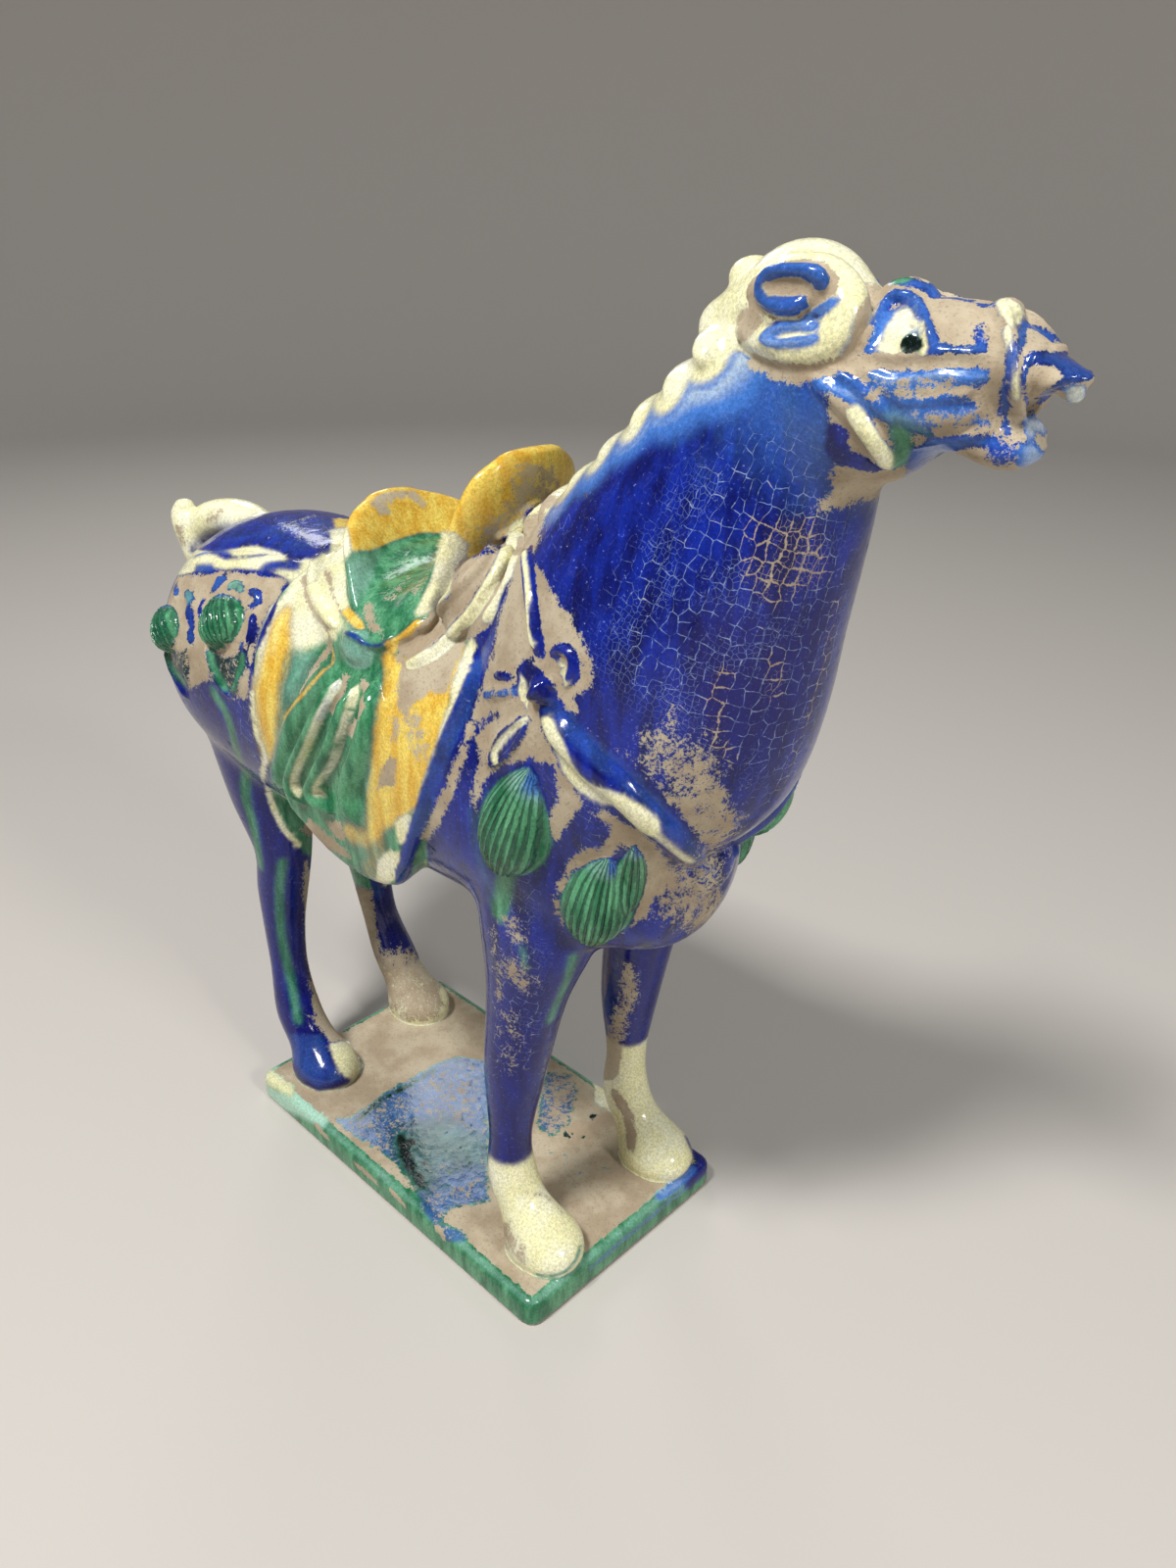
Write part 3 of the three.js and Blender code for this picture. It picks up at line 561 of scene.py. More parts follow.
SHOULDERS = [ball((x, side * 17, z), (9, 9.5, 13.5), (0, 30, 0)) for side in (RIGHT, LEFT)
             for x, z in ((33, 191), (40.5, 187))]
lumps = [FOREHEAD, KNOB, *UNDER_EARS, NOSEBAND_KNOT, *TEETH, PENDANT, WITHERS, *SHOULDERS]
print("hair and ears", len(hair), "parts; lumps", len(lumps))

# %% [markdown]
# ## Slab
# A flat block with rounded corners and a soft upper edge. It is one ring repeated at rising heights. The
# ring shrinks over the last few millimetres by a quarter round.

# %% Slab
SLAB_LENGTH, SLAB_WIDTH, SLAB_HEIGHT, SLAB_CORNER, SLAB_EDGE = 134, 77, 9, 4, 2.5


def slab():
    """Rings of straight sides and quarter rounds, at heights up to SLAB_HEIGHT, then closed over the top."""
    turn = np.linspace(0, np.pi / 2, 8)
    heights = np.concatenate([[0, 0.3, 0.8], np.linspace(1.5, SLAB_HEIGHT - SLAB_EDGE, 5),
                              SLAB_HEIGHT - SLAB_EDGE * (1 - np.sin(turn[1:]))])
    insets = np.concatenate([[0.6, 0.2, 0], np.zeros(5), SLAB_EDGE * (1 - np.cos(turn[1:]))])
    corner_turn = np.linspace(0, np.pi / 2, 9)
    rings = []
    for z, inset in zip(heights, insets):
        corner = SLAB_CORNER - inset * 0.5
        reach = np.array([SLAB_LENGTH / 2 - inset - corner, SLAB_WIDTH / 2 - inset - corner])
        ring = []
        for q, (sx, sy) in enumerate([(1, 1), (-1, 1), (-1, -1), (1, -1)]):
            turned = corner_turn + q * np.pi / 2
            wide, deep = sx * reach[0] + corner * np.cos(turned), sy * reach[1] + corner * np.sin(turned)
            ring.append(np.stack([wide, deep, np.full(9, z)], axis=1))
        rings.append(np.concatenate(ring))
    return closed_grid(np.array(rings))


# %% [markdown]
# ## One skin
# Body, cloth, saddle, hair and slab are fused a second time, at a finer grain, and wiped with the wet
# finger just enough to round the steps, as the glaze does on the real figure.

# %% Fuse everything
SKIN_VOXEL = 0.6
points, faces = fused([body, cloth(), *saddle(), *hair, *lumps, slab()], SKIN_VOXEL)
points = smoothed(points, faces, times=7, hollows=0.5, crests=0.16)
normals = normals_of(points, faces)
skin_tree = BVHTree.FromPolygons(points.tolist(), faces.tolist())
print("fused skin", len(points), "points")

# %% [markdown]
# ## Pressed relief
# Straps, pleats, brows and lips are ridges that the mould pressed into the skin. A ridge is a line on the
# skin with a half-width and a height. Every point of the skin finds its distance to the line and moves
# out along its own normal by a rounded profile of that distance. Lines are given as pixels of the photograph
# and thrown from the camera onto the skin, so they lie where the photograph shows them and still sit on the
# clay. The other side's lines are the same ones mirrored and dropped onto the skin there.

# %% Lines on the skin
def settled(places):
    """Places moved to the nearest point of the skin."""
    return np.array([skin_tree.find_nearest(Vector(place))[0] for place in places])


def smooth_line(places, step=2.0):
    """A line through the places by between_rows, about one place every step millimetres."""
    places = np.asarray(places, float)
    if len(places) < 2:
        return places
    length = np.linalg.norm(np.diff(places[:, :3], axis=0), axis=1).sum()
    return between_rows(places, np.linspace(0, 1, max(int(length / step), 2) + 1))


def thrown(pixels):
    """Photograph pixels thrown from the camera onto the skin. One that misses gives None."""
    found = [skin_tree.ray_cast(Vector(EYE), Vector(way))[0] for way in sight_lines(pixels)]
    return [np.array(hit) if hit else None for hit in found]


def traced(pixels, *columns):
    """A line on the skin from photograph pixels. Each column is one value for the whole line, and comes back
    beside its places."""
    found = thrown(pixels)
    kept = [k for k, place in enumerate(found) if place is not None]
    if len(kept) < len(found):
        print("missed the skin:", [pixels[k] for k in range(len(found)) if k not in kept])
    extra = [np.broadcast_to(np.asarray(column, float), len(found))[kept] for column in columns]
    line = smooth_line(np.column_stack([np.reshape([found[k] for k in kept], (-1, 3)), *extra]))
    line[:, :3] = settled(line[:, :3]).reshape(-1, 3)
    return line


def mirrored(line):
    """The same line on the other side of the horse."""
    turned = np.array(line)
    turned[:, 1] *= -1
    turned[:, :3] = settled(turned[:, :3])
    return turned


def distance_to(line, cloud):
    """For every point of the cloud: its distance to the line, and the line's other columns there."""
    best = np.full(len(cloud), np.inf)
    found = np.zeros((len(cloud), line.shape[1] - 3))
    for a, b in zip(line[:-1], line[1:]) if len(line) > 1 else [(line[0], line[0])]:
        span = b[:3] - a[:3]
        share = np.clip((cloud - a[:3]) @ span / max(span @ span, 1e-9), 0, 1)
        away = np.linalg.norm(cloud - a[:3] - share[:, None] * span, axis=1)
        nearer = away < best
        best = np.where(nearer, away, best)
        found = np.where(nearer[:, None], a[3:] + share[:, None] * (b[3:] - a[3:]), found)
    return best, found


def near_line(line, reach):
    """The numbers of the skin's points in the line's box, grown by reach on every side."""
    low, high = line[:, :3].min(0) - reach, line[:, :3].max(0) + reach
    return np.flatnonzero(np.all((points > low) & (points < high), axis=1))


def ridge(line, fullness=1.3):
    """How far a ridge lifts the skin: height times (1 - (distance / half-width)^2)^(1 / fullness). The
    line's fourth column is the half-width and its fifth the height, and both taper over the last tenth at
    each end."""
    lift = np.zeros(len(points))
    at = near_line(line, line[:, 3].max() + 0.5)
    away, sizes = distance_to(line, points[at])
    lift[at] = sizes[:, 1] * np.clip(1 - (away / sizes[:, 0]) ** 2, 0, 1) ** (1 / fullness)
    return lift


# %% Ridges seen in the photograph
# Each ridge: half-width and height in millimetres, its pixels, and SEEN if the left side has none.
BOTH, SEEN = "both sides", "as seen"
RIDGES = {
    "front fold": (1.9, 1.9, [
        (417, 677), (434, 671), (449, 659), (464, 644), (478, 630), (492, 610), (504, 590), (516, 566),
        (527, 541), (536, 523), (545, 512)]),
    "upper fold": (1.5, 1.5, [
        (403, 654), (421, 642), (440, 630), (458, 611), (477, 590), (495, 569), (513, 547), (532, 529)]),
    "lower fold": (1.6, 1.2, [(493, 637), (504, 621), (513, 605), (521, 587), (527, 569), (530, 547)]),
    "knot rim": (1.2, 1.3, [(351, 646), (363, 650), (372, 656), (385, 659), (395, 656), (401, 648)]),
    "rear fold": (2, 2, [
        (343, 639), (337, 630), (328, 618), (322, 605), (320, 590), (323, 575), (333, 564), (342, 558)]),
    "pleat 0": (3.4, 1.8, [(342, 685), (323, 700), (302, 734), (290, 765), (284, 789), (285, 804)]),
    "pleat 1": (2.6, 3.4, [
        (345, 699), (334, 719), (322, 743), (311, 765), (302, 786), (301, 800), (311, 817)]),
    "pleat 2": (2.6, 3.8, [
        (362, 706), (354, 731), (345, 755), (334, 777), (325, 795), (323, 807), (339, 827)]),
    "pleat 3": (3.6, 3.8, [(384, 700), (381, 731), (373, 761), (362, 789), (359, 812), (369, 838)]),
    "junction": (3.8, 3.8, [(548, 698), (552, 704), (557, 710)]),
    "junction, front": (1.8, 1.4, [(560, 700), (566, 694)]),
    "bit a": (1.2, 0.8, [(505, 689), (518, 690)]),
    "bit b": (1.4, 0.9, [(494, 710), (510, 707), (524, 706)]),
    "withers strap": (1.6, 1.3, [
        (537, 560), (538, 581), (540, 603), (543, 627), (545, 648), (548, 663)], SEEN),
    "loop": (1, 1.2, [(564, 667), (572, 662), (581, 666), (585, 678), (581, 694), (577, 701)], SEEN),
    "leaf": (0.8, 1, [
        (540, 733), (524, 738), (510, 750), (501, 766), (501, 780), (510, 777), (524, 764), (534, 748),
        (541, 735)], SEEN),
    "breast strap": (3.8, 2.6, [
        (556, 729), (572, 748), (588, 766), (604, 782), (623, 798), (644, 817), (663, 836), (682, 852),
        (701, 868), (717, 887)]),
    "crupper": (3.4, 1.1, [
        (173, 582), (192, 574), (218, 572), (245, 571), (271, 574), (294, 579), (307, 576)]),
    "skirt of tassel 2": (1.2, 1.3, [(211, 657), (216, 678), (224, 697), (237, 712)]),
    "skirt of tassel 2, front": (1.2, 1.2, [(245, 683), (243, 697), (237, 707)]),
    "skirt of tassel 1": (1.1, 1.2, [(170, 660), (174, 678), (184, 699), (192, 712)]),
    "skirt of tassel 1, front": (1.1, 1, [(191, 663), (190, 683), (192, 694)]),
    "hook a": (1, 1, [(218, 600), (224, 591), (228, 591)]),
    "hook b": (1.2, 1, [(232, 605), (239, 595), (250, 597)]),
    "hook c": (1.1, 1, [(255, 602), (262, 605), (262, 615)]),
    "hook d": (1.1, 0.8, [(258, 626), (255, 647), (248, 670)]),
    "hook e": (1, 0.9, [(174, 597), (181, 600), (179, 613)]),
    "hook f": (1, 0.9, [(190, 605), (194, 613), (192, 626), (194, 657), (194, 673)]),
    "brow": (1.1, 1.4, [
        (883, 356), (887, 342), (895, 329), (901, 314), (910, 303), (921, 301), (933, 306), (942, 319),
        (947, 335), (952, 348), (956, 356)]),
    "eye": (2.2, 1.5, [(926, 344), (928, 347), (931, 350)]),
    "upper lid": (0.7, 0.8, [
        (913, 361), (916, 347), (924, 334), (934, 329), (941, 335), (944, 347), (942, 358)]),
    "lower lid": (0.9, 0.7, [(884, 359), (913, 364), (934, 362), (955, 359), (981, 359), (1007, 361)]),
    "cheek 1": (0.9, 0.8, [
        (876, 378), (892, 384), (913, 390), (934, 387), (955, 383), (981, 387), (1007, 383)]),
    "cheek 2": (0.8, 0.7, [(887, 389), (903, 397), (924, 400), (947, 395), (973, 396)]),
    "cheek 3": (1, 1, [(910, 408), (929, 410), (952, 408), (976, 404), (994, 397)]),
    "jaw": (2.6, 1.2, [(915, 424), (939, 427), (965, 427), (992, 422)]),
    "jaw line": (1, 0.7, [(931, 458), (944, 452), (965, 447), (992, 444), (1012, 439)]),
    "throat strap": (1.2, 1.2, [(845, 378), (861, 384), (876, 395), (890, 408), (900, 418), (910, 431)]),
    "throat fold": (2, 1.6, [
        (829, 387), (845, 397), (861, 410), (874, 426), (887, 444), (897, 460), (908, 476), (913, 492)]),
    "noseband": (1.4, 1.4, [
        (1023, 312), (1026, 329), (1031, 350), (1033, 371), (1036, 392), (1039, 413), (1041, 431),
        (1044, 452)]),
    "upper lip": (1.2, 1.1, [
        (1048, 373), (1054, 363), (1067, 356), (1079, 353), (1090, 361), (1101, 369), (1115, 376)]),
    "lower edge of lip": (1, 0.9, [(1057, 401), (1067, 392), (1083, 387), (1101, 384), (1115, 381)]),
    "nostril rim": (0.6, 0.6, [(1049, 375), (1048, 392), (1049, 410)]),
    "ear curl": (0.9, 0.8, [(849, 306), (835, 316), (820, 325)], SEEN),
    "ear curl, low": (0.9, 0.8, [
        (831, 333), (806, 332), (782, 340), (778, 348), (790, 351), (808, 349), (829, 345)], SEEN),
}
ridges = {}
for name, (half_width, height, pixels, *sides) in RIDGES.items():
    line = traced(pixels, half_width, height)
    taper = np.minimum(1, 0.45 + 6 * np.minimum(np.linspace(0, 1, len(line)), np.linspace(1, 0, len(line))))
    line[:, 3:] *= taper[:, None]
    ridges[name] = [line] if SEEN in sides else [line, mirrored(line)]
lift = np.zeros(len(points))
for lines in ridges.values():
    for line in lines:
        lift = np.maximum(lift, ridge(line))
print("ridges", sum(len(lines) for lines in ridges.values()), "highest", round(lift.max(), 2), "mm")

# %% [markdown]
# ## Tassels
# Cast tassels hang from the straps: an egg of clay, fuller below, combed into ribs from top to bottom.
# Each one is a height field over the skin. Down the tassel runs u, from 0 to 1, and across it v, from -1
# to 1 at its edges, so the egg and its ribs are formulas of u and v.

# %% Tassels
# Each tassel: half-width, height and number of ribs, the sides that have it, and the pixels of its top and
# bottom. The left side's foremost one is larger and peeps out past the chest.
TWINS, NEAR_SIDE, FAR_SIDE = (1, -1), (1,), (-1,)
TASSELS = {
    "chest, rear": (8.4, 6.2, 7, TWINS, (543, 783), (512, 889)),
    "chest, front": (7.4, 5.6, 7, TWINS, (622, 874), (601, 957)),
    "chest, front edge": (3.2, 2.8, 3, NEAR_SIDE, (648, 862), (641, 930)),
    "rump, front": (7.8, 5.6, 7, TWINS, (227, 606), (231, 662)),
    "rump, rear": (6.6, 5.2, 6, TWINS, (172, 617), (178, 664)),
    "chest, left": (5.4, 5, 5, FAR_SIDE, (692, 852), (676, 896)),
}


def across_tassel(cloud, directions, top, bottom, out, half_width):
    """u down the tassel and v across it, for every point of the cloud. The egg is half_width times
    sin(pi u^1.25)^0.55 wide. Off the tassel, v is 9."""
    down = bottom - top
    length = np.linalg.norm(down)
    down = down / length
    sideways = unit(np.cross(out, down))
    away = cloud - top
    u = away @ down / length
    wide = half_width * np.sin(np.pi * np.clip(u, 0.001, 0.999) ** 1.25) ** 0.55
    near = (u > -0.1) & (u < 1.1) & (np.abs(away @ out) < 12) & (directions @ out > 0)
    return u, np.where(near, away @ sideways / np.maximum(wide, 0.01), 9)


def dome(u, v):
    """The tassel's round, 1 at its middle: (1 - v^2)^0.5 across, and sin(pi u^1.25)^0.45 along."""
    u, v = np.clip(u, 0, 1), np.clip(v, -1, 1)
    return (1 - v * v) ** 0.5 * np.sin(np.pi * u ** 1.25) ** 0.45


def comb(u, v, ribs, depth=0.75):
    """The grooves between the ribs: depth times the absolute cosine of pi ribs v / 2 to the power 3, fading
    with the dome. The ribs bow out by a quarter at half the tassel's length."""
    bowed = v * (1 + 0.25 * np.sin(np.pi * np.clip(u, 0, 1)))
    return depth * np.abs(np.cos(np.pi * ribs * bowed / 2)) ** 3 * dome(u, v) ** 0.4


tassels = []
rib_counts = []
grooves = np.zeros(len(points))
for half_width, height, ribs, twins, *ends in TASSELS.values():
    top, bottom = thrown(ends)
    for side in twins:
        top_here, bottom_here = settled([top * [1, side, 1], bottom * [1, side, 1]])
        out = np.array(skin_tree.find_nearest(Vector((top_here + bottom_here) / 2))[1])
        tassels.append((top_here, bottom_here, out, half_width))
        rib_counts.append(ribs)
        u, v = across_tassel(points, normals, *tassels[-1])
        on_it = (np.abs(v) < 1) & (u > 0) & (u < 1)
        lift = np.maximum(lift, np.where(on_it, height * dome(u, v), 0))
        grooves = np.maximum(grooves, np.where(on_it, comb(u, v, ribs), 0))
points = points + normals * lift[:, None]
points = smoothed(points, faces, times=2, hollows=0.3, crests=0.2)
points = points - normals_of(points, faces) * grooves[:, None]
print("with tassels", round(lift.max(), 2), "mm")

# %% [markdown]
# ## The finished mesh
# The skin has far more points than it needs on its flat parts. Decimating by collapse takes points away
# where that changes the shape least, so they stay where there is relief. But the brushwork needs points
# everywhere, also on the flat slab. A grain far finer than one could see makes every flat part just
# uneven enough to keep some.

# %% Thin out
MOST_TRIANGLES, GRAIN, SEED = 197000, 0.035, 7
grain = np.random.default_rng(SEED).uniform(-GRAIN, GRAIN, len(points))
dense = mesh_of("dense", points + normals * grain[:, None], faces)
share = min(1, MOST_TRIANGLES / (2 * len(faces)))
mesh = with_modifier(dense, "DECIMATE", ratio=share, use_collapse_triangulate=True)
mesh.name = "ceramic_horse_skin"
points, corners, _ = arrays_of(mesh)
mesh.polygons.foreach_set("use_smooth", np.ones(len(mesh.polygons), bool))
print("skin", len(mesh.polygons), "triangles of", 2 * len(faces))

horse = bpy.data.objects.new("horse_figure", mesh)
bpy.context.collection.objects.link(horse)
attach(horse, "root")
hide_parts("ceramic_horse")

# %% [markdown]
# ## Brushwork
# The potter brushed amber, green and cream over a blue ground and let them run in the fire. Later some of
# the glaze flaked off and left bare clay. Here every point of the skin carries four attributes. The
# colour "glaze" holds the shares of amber, green and cream, blue being what is left, and in its fourth
# channel how bare the clay is. The colour "tone" holds thin or thick glaze, crackle, scratches and
# violet. Two vectors, "crackle_place" and "rib_place", hold coordinates that run along the neck and down
# the tassels. The colours are soft fields, and the material turns their borders into runs and ragged
# flakes with noise, so the edges stay crisp however coarse the mesh is. The brush works in two ways: a
# line follows the skin like a ridge, and an area is an outline in the photograph that is projected from
# the camera. The left side is painted from the mirrored camera.

# %% The brush
FILL = None  # stands for a half-width where a stroke fills its outline
RAGGED = 2.0
# The fourth number lightens the glaze: thin glaze, and painted highlight in the strokes marked so.
MIXES = {  # shares of amber, green and cream, and how thin the glaze is (below 0 it is thick and dark)
    "blue": (0, 0, 0, 0), "muzzle": (0, 0, 0, 0.22), "cobalt": (0, 0, 0, 0.38), "lightblue": (0, 0, 0, 0.7),
    "wash": (0, 0.1, 0.12, 0.75), "slate": (0, 0.3, 0.04, 0.3), "haze": (0, 0, 0.22, 0.8),
    "glassy": (0, 0.05, 0.45, 0.8), "cream": (0, 0, 1, 0), "amber": (1, 0, 0, 0), "honey": (1, 0, 0, 0.5),
    "olive": (0.5, 0.45, 0, 0.25), "green": (0, 1, 0, 0), "teal": (0, 0.55, 0, 0.35),
    "sea": (0, 0.75, 0, 0.45), "ink": (0, 0.8, 0, -1),
}
LIGHT, CRACKLE, WEAR, VIOLET = range(4)  # the four channels of "tone"
BARE = 3  # the fourth channel of "glaze"
TONES = {  # the channel a tone goes to, and its value at full strength
    "thin": (LIGHT, 1), "crackle": (CRACKLE, 1), "opened": (CRACKLE, 2), "wear": (WEAR, 1),
    "violet": (VIOLET, 1),
}
normals = np.empty(len(points) * 3, np.float32)
mesh.vertices.foreach_get("normal", normals)
normals = normals.reshape(-1, 3).astype(float)
glaze = np.zeros((len(points), 4))
tone = np.zeros((len(points), 4))
faces_photo = (unit(EYE - points) * normals).sum(1)
faces_mirror = (unit(EYE * [1, -1, 1] - points) * normals).sum(1)
photo_side = ease(faces_photo, -0.25, -0.05)


def lay(colour, mask):
    """Brushes a glaze on by mask, from 0 to 1, or lays the clay bare, or raises a tone. A glaze covers what
    was bare."""
    if colour == "bare":
        glaze[:, BARE] = np.maximum(glaze[:, BARE], mask)
        return
    if colour in TONES:
        channel, top = TONES[colour]
        tone[:, channel] = np.where(mask > 0, np.maximum(tone[:, channel], mask * top), tone[:, channel])
        return
    amber, green, cream, light = MIXES[colour]
    glaze[:, :3] += (np.array([amber, green, cream]) - glaze[:, :3]) * mask[:, None]
    glaze[:, BARE] *= 1 - mask
    tone[:, LIGHT] += (light - tone[:, LIGHT]) * mask


def inside(outline, pixels):
    """How far inside an outline each pixel is, below 0 outside: the distance to its nearest side, whose sign
    comes from how many sides lie above the pixel."""
    outline = np.asarray(outline, float)
    best = np.full(len(pixels), np.inf)
    within = np.zeros(len(pixels), bool)
    for a, b in zip(outline, np.roll(outline, -1, axis=0)):
        span = b - a
        share = np.clip((pixels - a) @ span / max(span @ span, 1e-9), 0, 1)
        best = np.minimum(best, np.linalg.norm(pixels - a - share[:, None] * span, axis=1))
        crosses = (a[1] > pixels[:, 1]) != (b[1] > pixels[:, 1])
        meet = a[0] + (pixels[:, 1] - a[1]) * span[0] / np.where(span[1] == 0, 1e-9, span[1])
        within ^= crosses & (pixels[:, 0] < meet)
    return np.where(within, best, -best)


def area_mask(outline, soft, sides=BOTH, reach=9.0):
    """1 inside the outline and 0 outside, over soft millimetres each way. Only points within reach of where
    the outline falls on the skin, and turned to the camera, are painted."""
    hits = [place for place in thrown(outline) if place is not None]
    low, high = np.min(hits, axis=0) - reach, np.max(hits, axis=0) + reach
    mask = np.zeros(len(points))
    for mirror, turned in ((1, faces_photo), (-1, faces_mirror)):
        if mirror < 0 and sides == SEEN:
            break
        place = points * [1, mirror, 1]
        at = np.flatnonzero(np.all((place > low) & (place < high), axis=1) & (turned > -0.35))
        scale = np.linalg.norm(place[at] - EYE, axis=1) / FOCAL
        cover = ease(inside(outline, in_photo(place[at])) * scale, -soft, soft)
        if mirror < 0:
            cover = cover * (1 - photo_side[at])
        elif sides == BOTH:
            cover = cover * photo_side[at]
        mask[at] = np.maximum(mask[at], cover)
    return mask


def line_mask(pixels, half_width, soft, sides=BOTH):
    """1 on the line and 0 beside it, over soft millimetres round its half-width."""
    line = traced(pixels)
    mask = np.zeros(len(points))
    if len(line) == 0:
        return mask
    for drawn in [line, mirrored(line)] if sides == BOTH else [line]:
        at = near_line(drawn, half_width + soft)
        away, _ = distance_to(drawn, points[at])
        mask[at] = np.maximum(mask[at], ease(away, half_width + soft, half_width - soft))
    return mask


def brush(work):
    """Lays every stroke of a table in its order. A stroke is its colour, its amount, its half-width, how soft
    its border is (mm), its pixels, and SEEN if the left side has none. Bare clay gets a border RAGGED times
    as soft, which noise then tears."""
    for colour, amount, half_width, soft, pixels, *sides in work.values():
        soft = soft * (RAGGED if colour == "bare" else 1)
        if half_width is FILL:
            lay(colour, area_mask(pixels, soft, *sides) * amount)
        else:
            lay(colour, line_mask(pixels, half_width, soft, *sides) * amount)


def on_part(part, near=0.5, far=1.7):
    """1 where the skin lies on one of the parts that were fused, 0 where it is far from it."""
    part_points, part_faces = part
    tree = BVHTree.FromPolygons(part_points.tolist(), part_faces.tolist())
    low, high = part_points.min(0) - far, part_points.max(0) + far
    at = np.flatnonzero(np.all((points > low) & (points < high), axis=1))
    away = np.array([tree.find_nearest(Vector(place))[3] for place in points[at]])
    mask = np.zeros(len(points))
    mask[at] = ease(away, far, near)
    return mask


skin_tree = BVHTree.FromPolygons(points.tolist(), corners.reshape(-1, 3).tolist())

# %% Ground coats
x, y, z = points.T
lay("green", on_part(cloth()))
seat_part, pommel_part, cantle_part, *knot_parts = saddle()
lay("green", on_part(seat_part))
for part in (pommel_part, cantle_part):
    lay("amber", on_part(part))
for part in knot_parts:
    lay("sea", on_part(part))
for part in hair:
    lay("cream", on_part(part))
for side in (RIGHT, LEFT):
    leaf, rim = ear(side)
    lay("bare", on_part(leaf))
    lay("cobalt", on_part(rim, 0.2, 0.6))
lay("cream", on_part(KNOB))
CREAM_TOPS = (37, 50, 10, 26)  # how far up each leg its cream reaches, in the order of ALL_HOOVES (mm)
for (hoof_x, hoof_y), top in zip(ALL_HOOVES, CREAM_TOPS):
    by_leg = (np.abs(x - hoof_x + 6) < 24) & (np.abs(y - hoof_y) < 15)
    lay("cream", by_leg * ease(z, top + 2.5, top - 2.5))
HEAD_OUTLINE = [
    (871, 246), (892, 293), (913, 280), (955, 293), (1012, 303), (1054, 308), (1127, 376), (1127, 397),
    (1083, 429), (1080, 481), (1039, 491), (1007, 465), (965, 465), (939, 473), (913, 500), (908, 500),
    (897, 465), (876, 429), (845, 408), (827, 387), (861, 366), (876, 345), (887, 308),
]
not_hair = 1 - np.maximum.reduce([on_part(part, 0.9, 2) for part in hair])
head = np.maximum(area_mask(HEAD_OUTLINE, 1.5), ease(x, 116, 119)) * not_hair
lay("bare", head)
mane_distance = np.full(len(points), 60.0)
mane_tree = BVHTree.FromPolygons(mane_part[0].tolist(), mane_part[1].tolist())
near_mane = np.flatnonzero((x > 20) & (z > 150))
mane_distance[near_mane] = [mane_tree.find_nearest(Vector(place))[3] for place in points[near_mane]]
neck = ease(x, 40, 52) * ease(z, 165, 180) * (1 - head)
poll = ease(z + 0.5 * x, 268, 296)
ground_light = neck * np.maximum(0.9 * ease(mane_distance, 10 + 10 * poll, 1), 0.36 * poll)
blue_ground = (glaze[:, :3].sum(1) < 0.5) & (not_hair > 0.5)
tone[:, LIGHT] = np.where(blue_ground, ground_light, tone[:, LIGHT])
lay("cream", neck * ease(mane_distance, 4.5, 0.5) * 0.8)
lay("crackle", np.full(len(points), 0.15))
lay("violet", 0.7 * ease(z, 130, 100))
print("ground coats", np.round(glaze.mean(0), 2))

# %% [markdown]
# The crackle runs round the neck and along it, like rings and staves. It needs coordinates that follow
# the skin: one along the neck's axis, and one round it, measured like a tape that is bent over the chest
# and then runs straight back along both flanks.

# %% Tape measure for the crackle
NECK_AXIS, NECK_FRONT = np.array([0.397, 0, 0.918]), np.array([0.918, 0, -0.397])
NECK_RADIUS = 32.0
forward = (points - [78, 0, 194]) @ NECK_FRONT
turn_round = np.arctan2(y, np.maximum(forward, 0))
tape = NECK_RADIUS * turn_round - np.sign(y) * np.minimum(forward, 0)
crackle_place = np.stack([tape, points @ NECK_AXIS, np.zeros(len(points))], axis=1) * MM
attribute = mesh.attributes.new("crackle_place", "FLOAT_VECTOR", "POINT")
attribute.data.foreach_set("vector", crackle_place.astype(np.float32).ravel())

# %% Brushwork on the slab
edge_in = np.minimum(SLAB_LENGTH / 2 - np.abs(x), SLAB_WIDTH / 2 - np.abs(y))
on_slab = ease(z, SLAB_HEIGHT + 0.8, SLAB_HEIGHT + 0.2)
slab_top = on_slab * ease(edge_in, 2.2, 3.4)
lay("green", on_slab)
# painted highlight: paler green along the slab's rounded upper edge
lay("sea", 0.8 * on_slab * ease(edge_in, 3.4, 1.8) * ease(z, SLAB_HEIGHT - 2.5, SLAB_HEIGHT - 0.5))
lay("bare", np.maximum(slab_top, ease(z, 1.0, 0.2)))

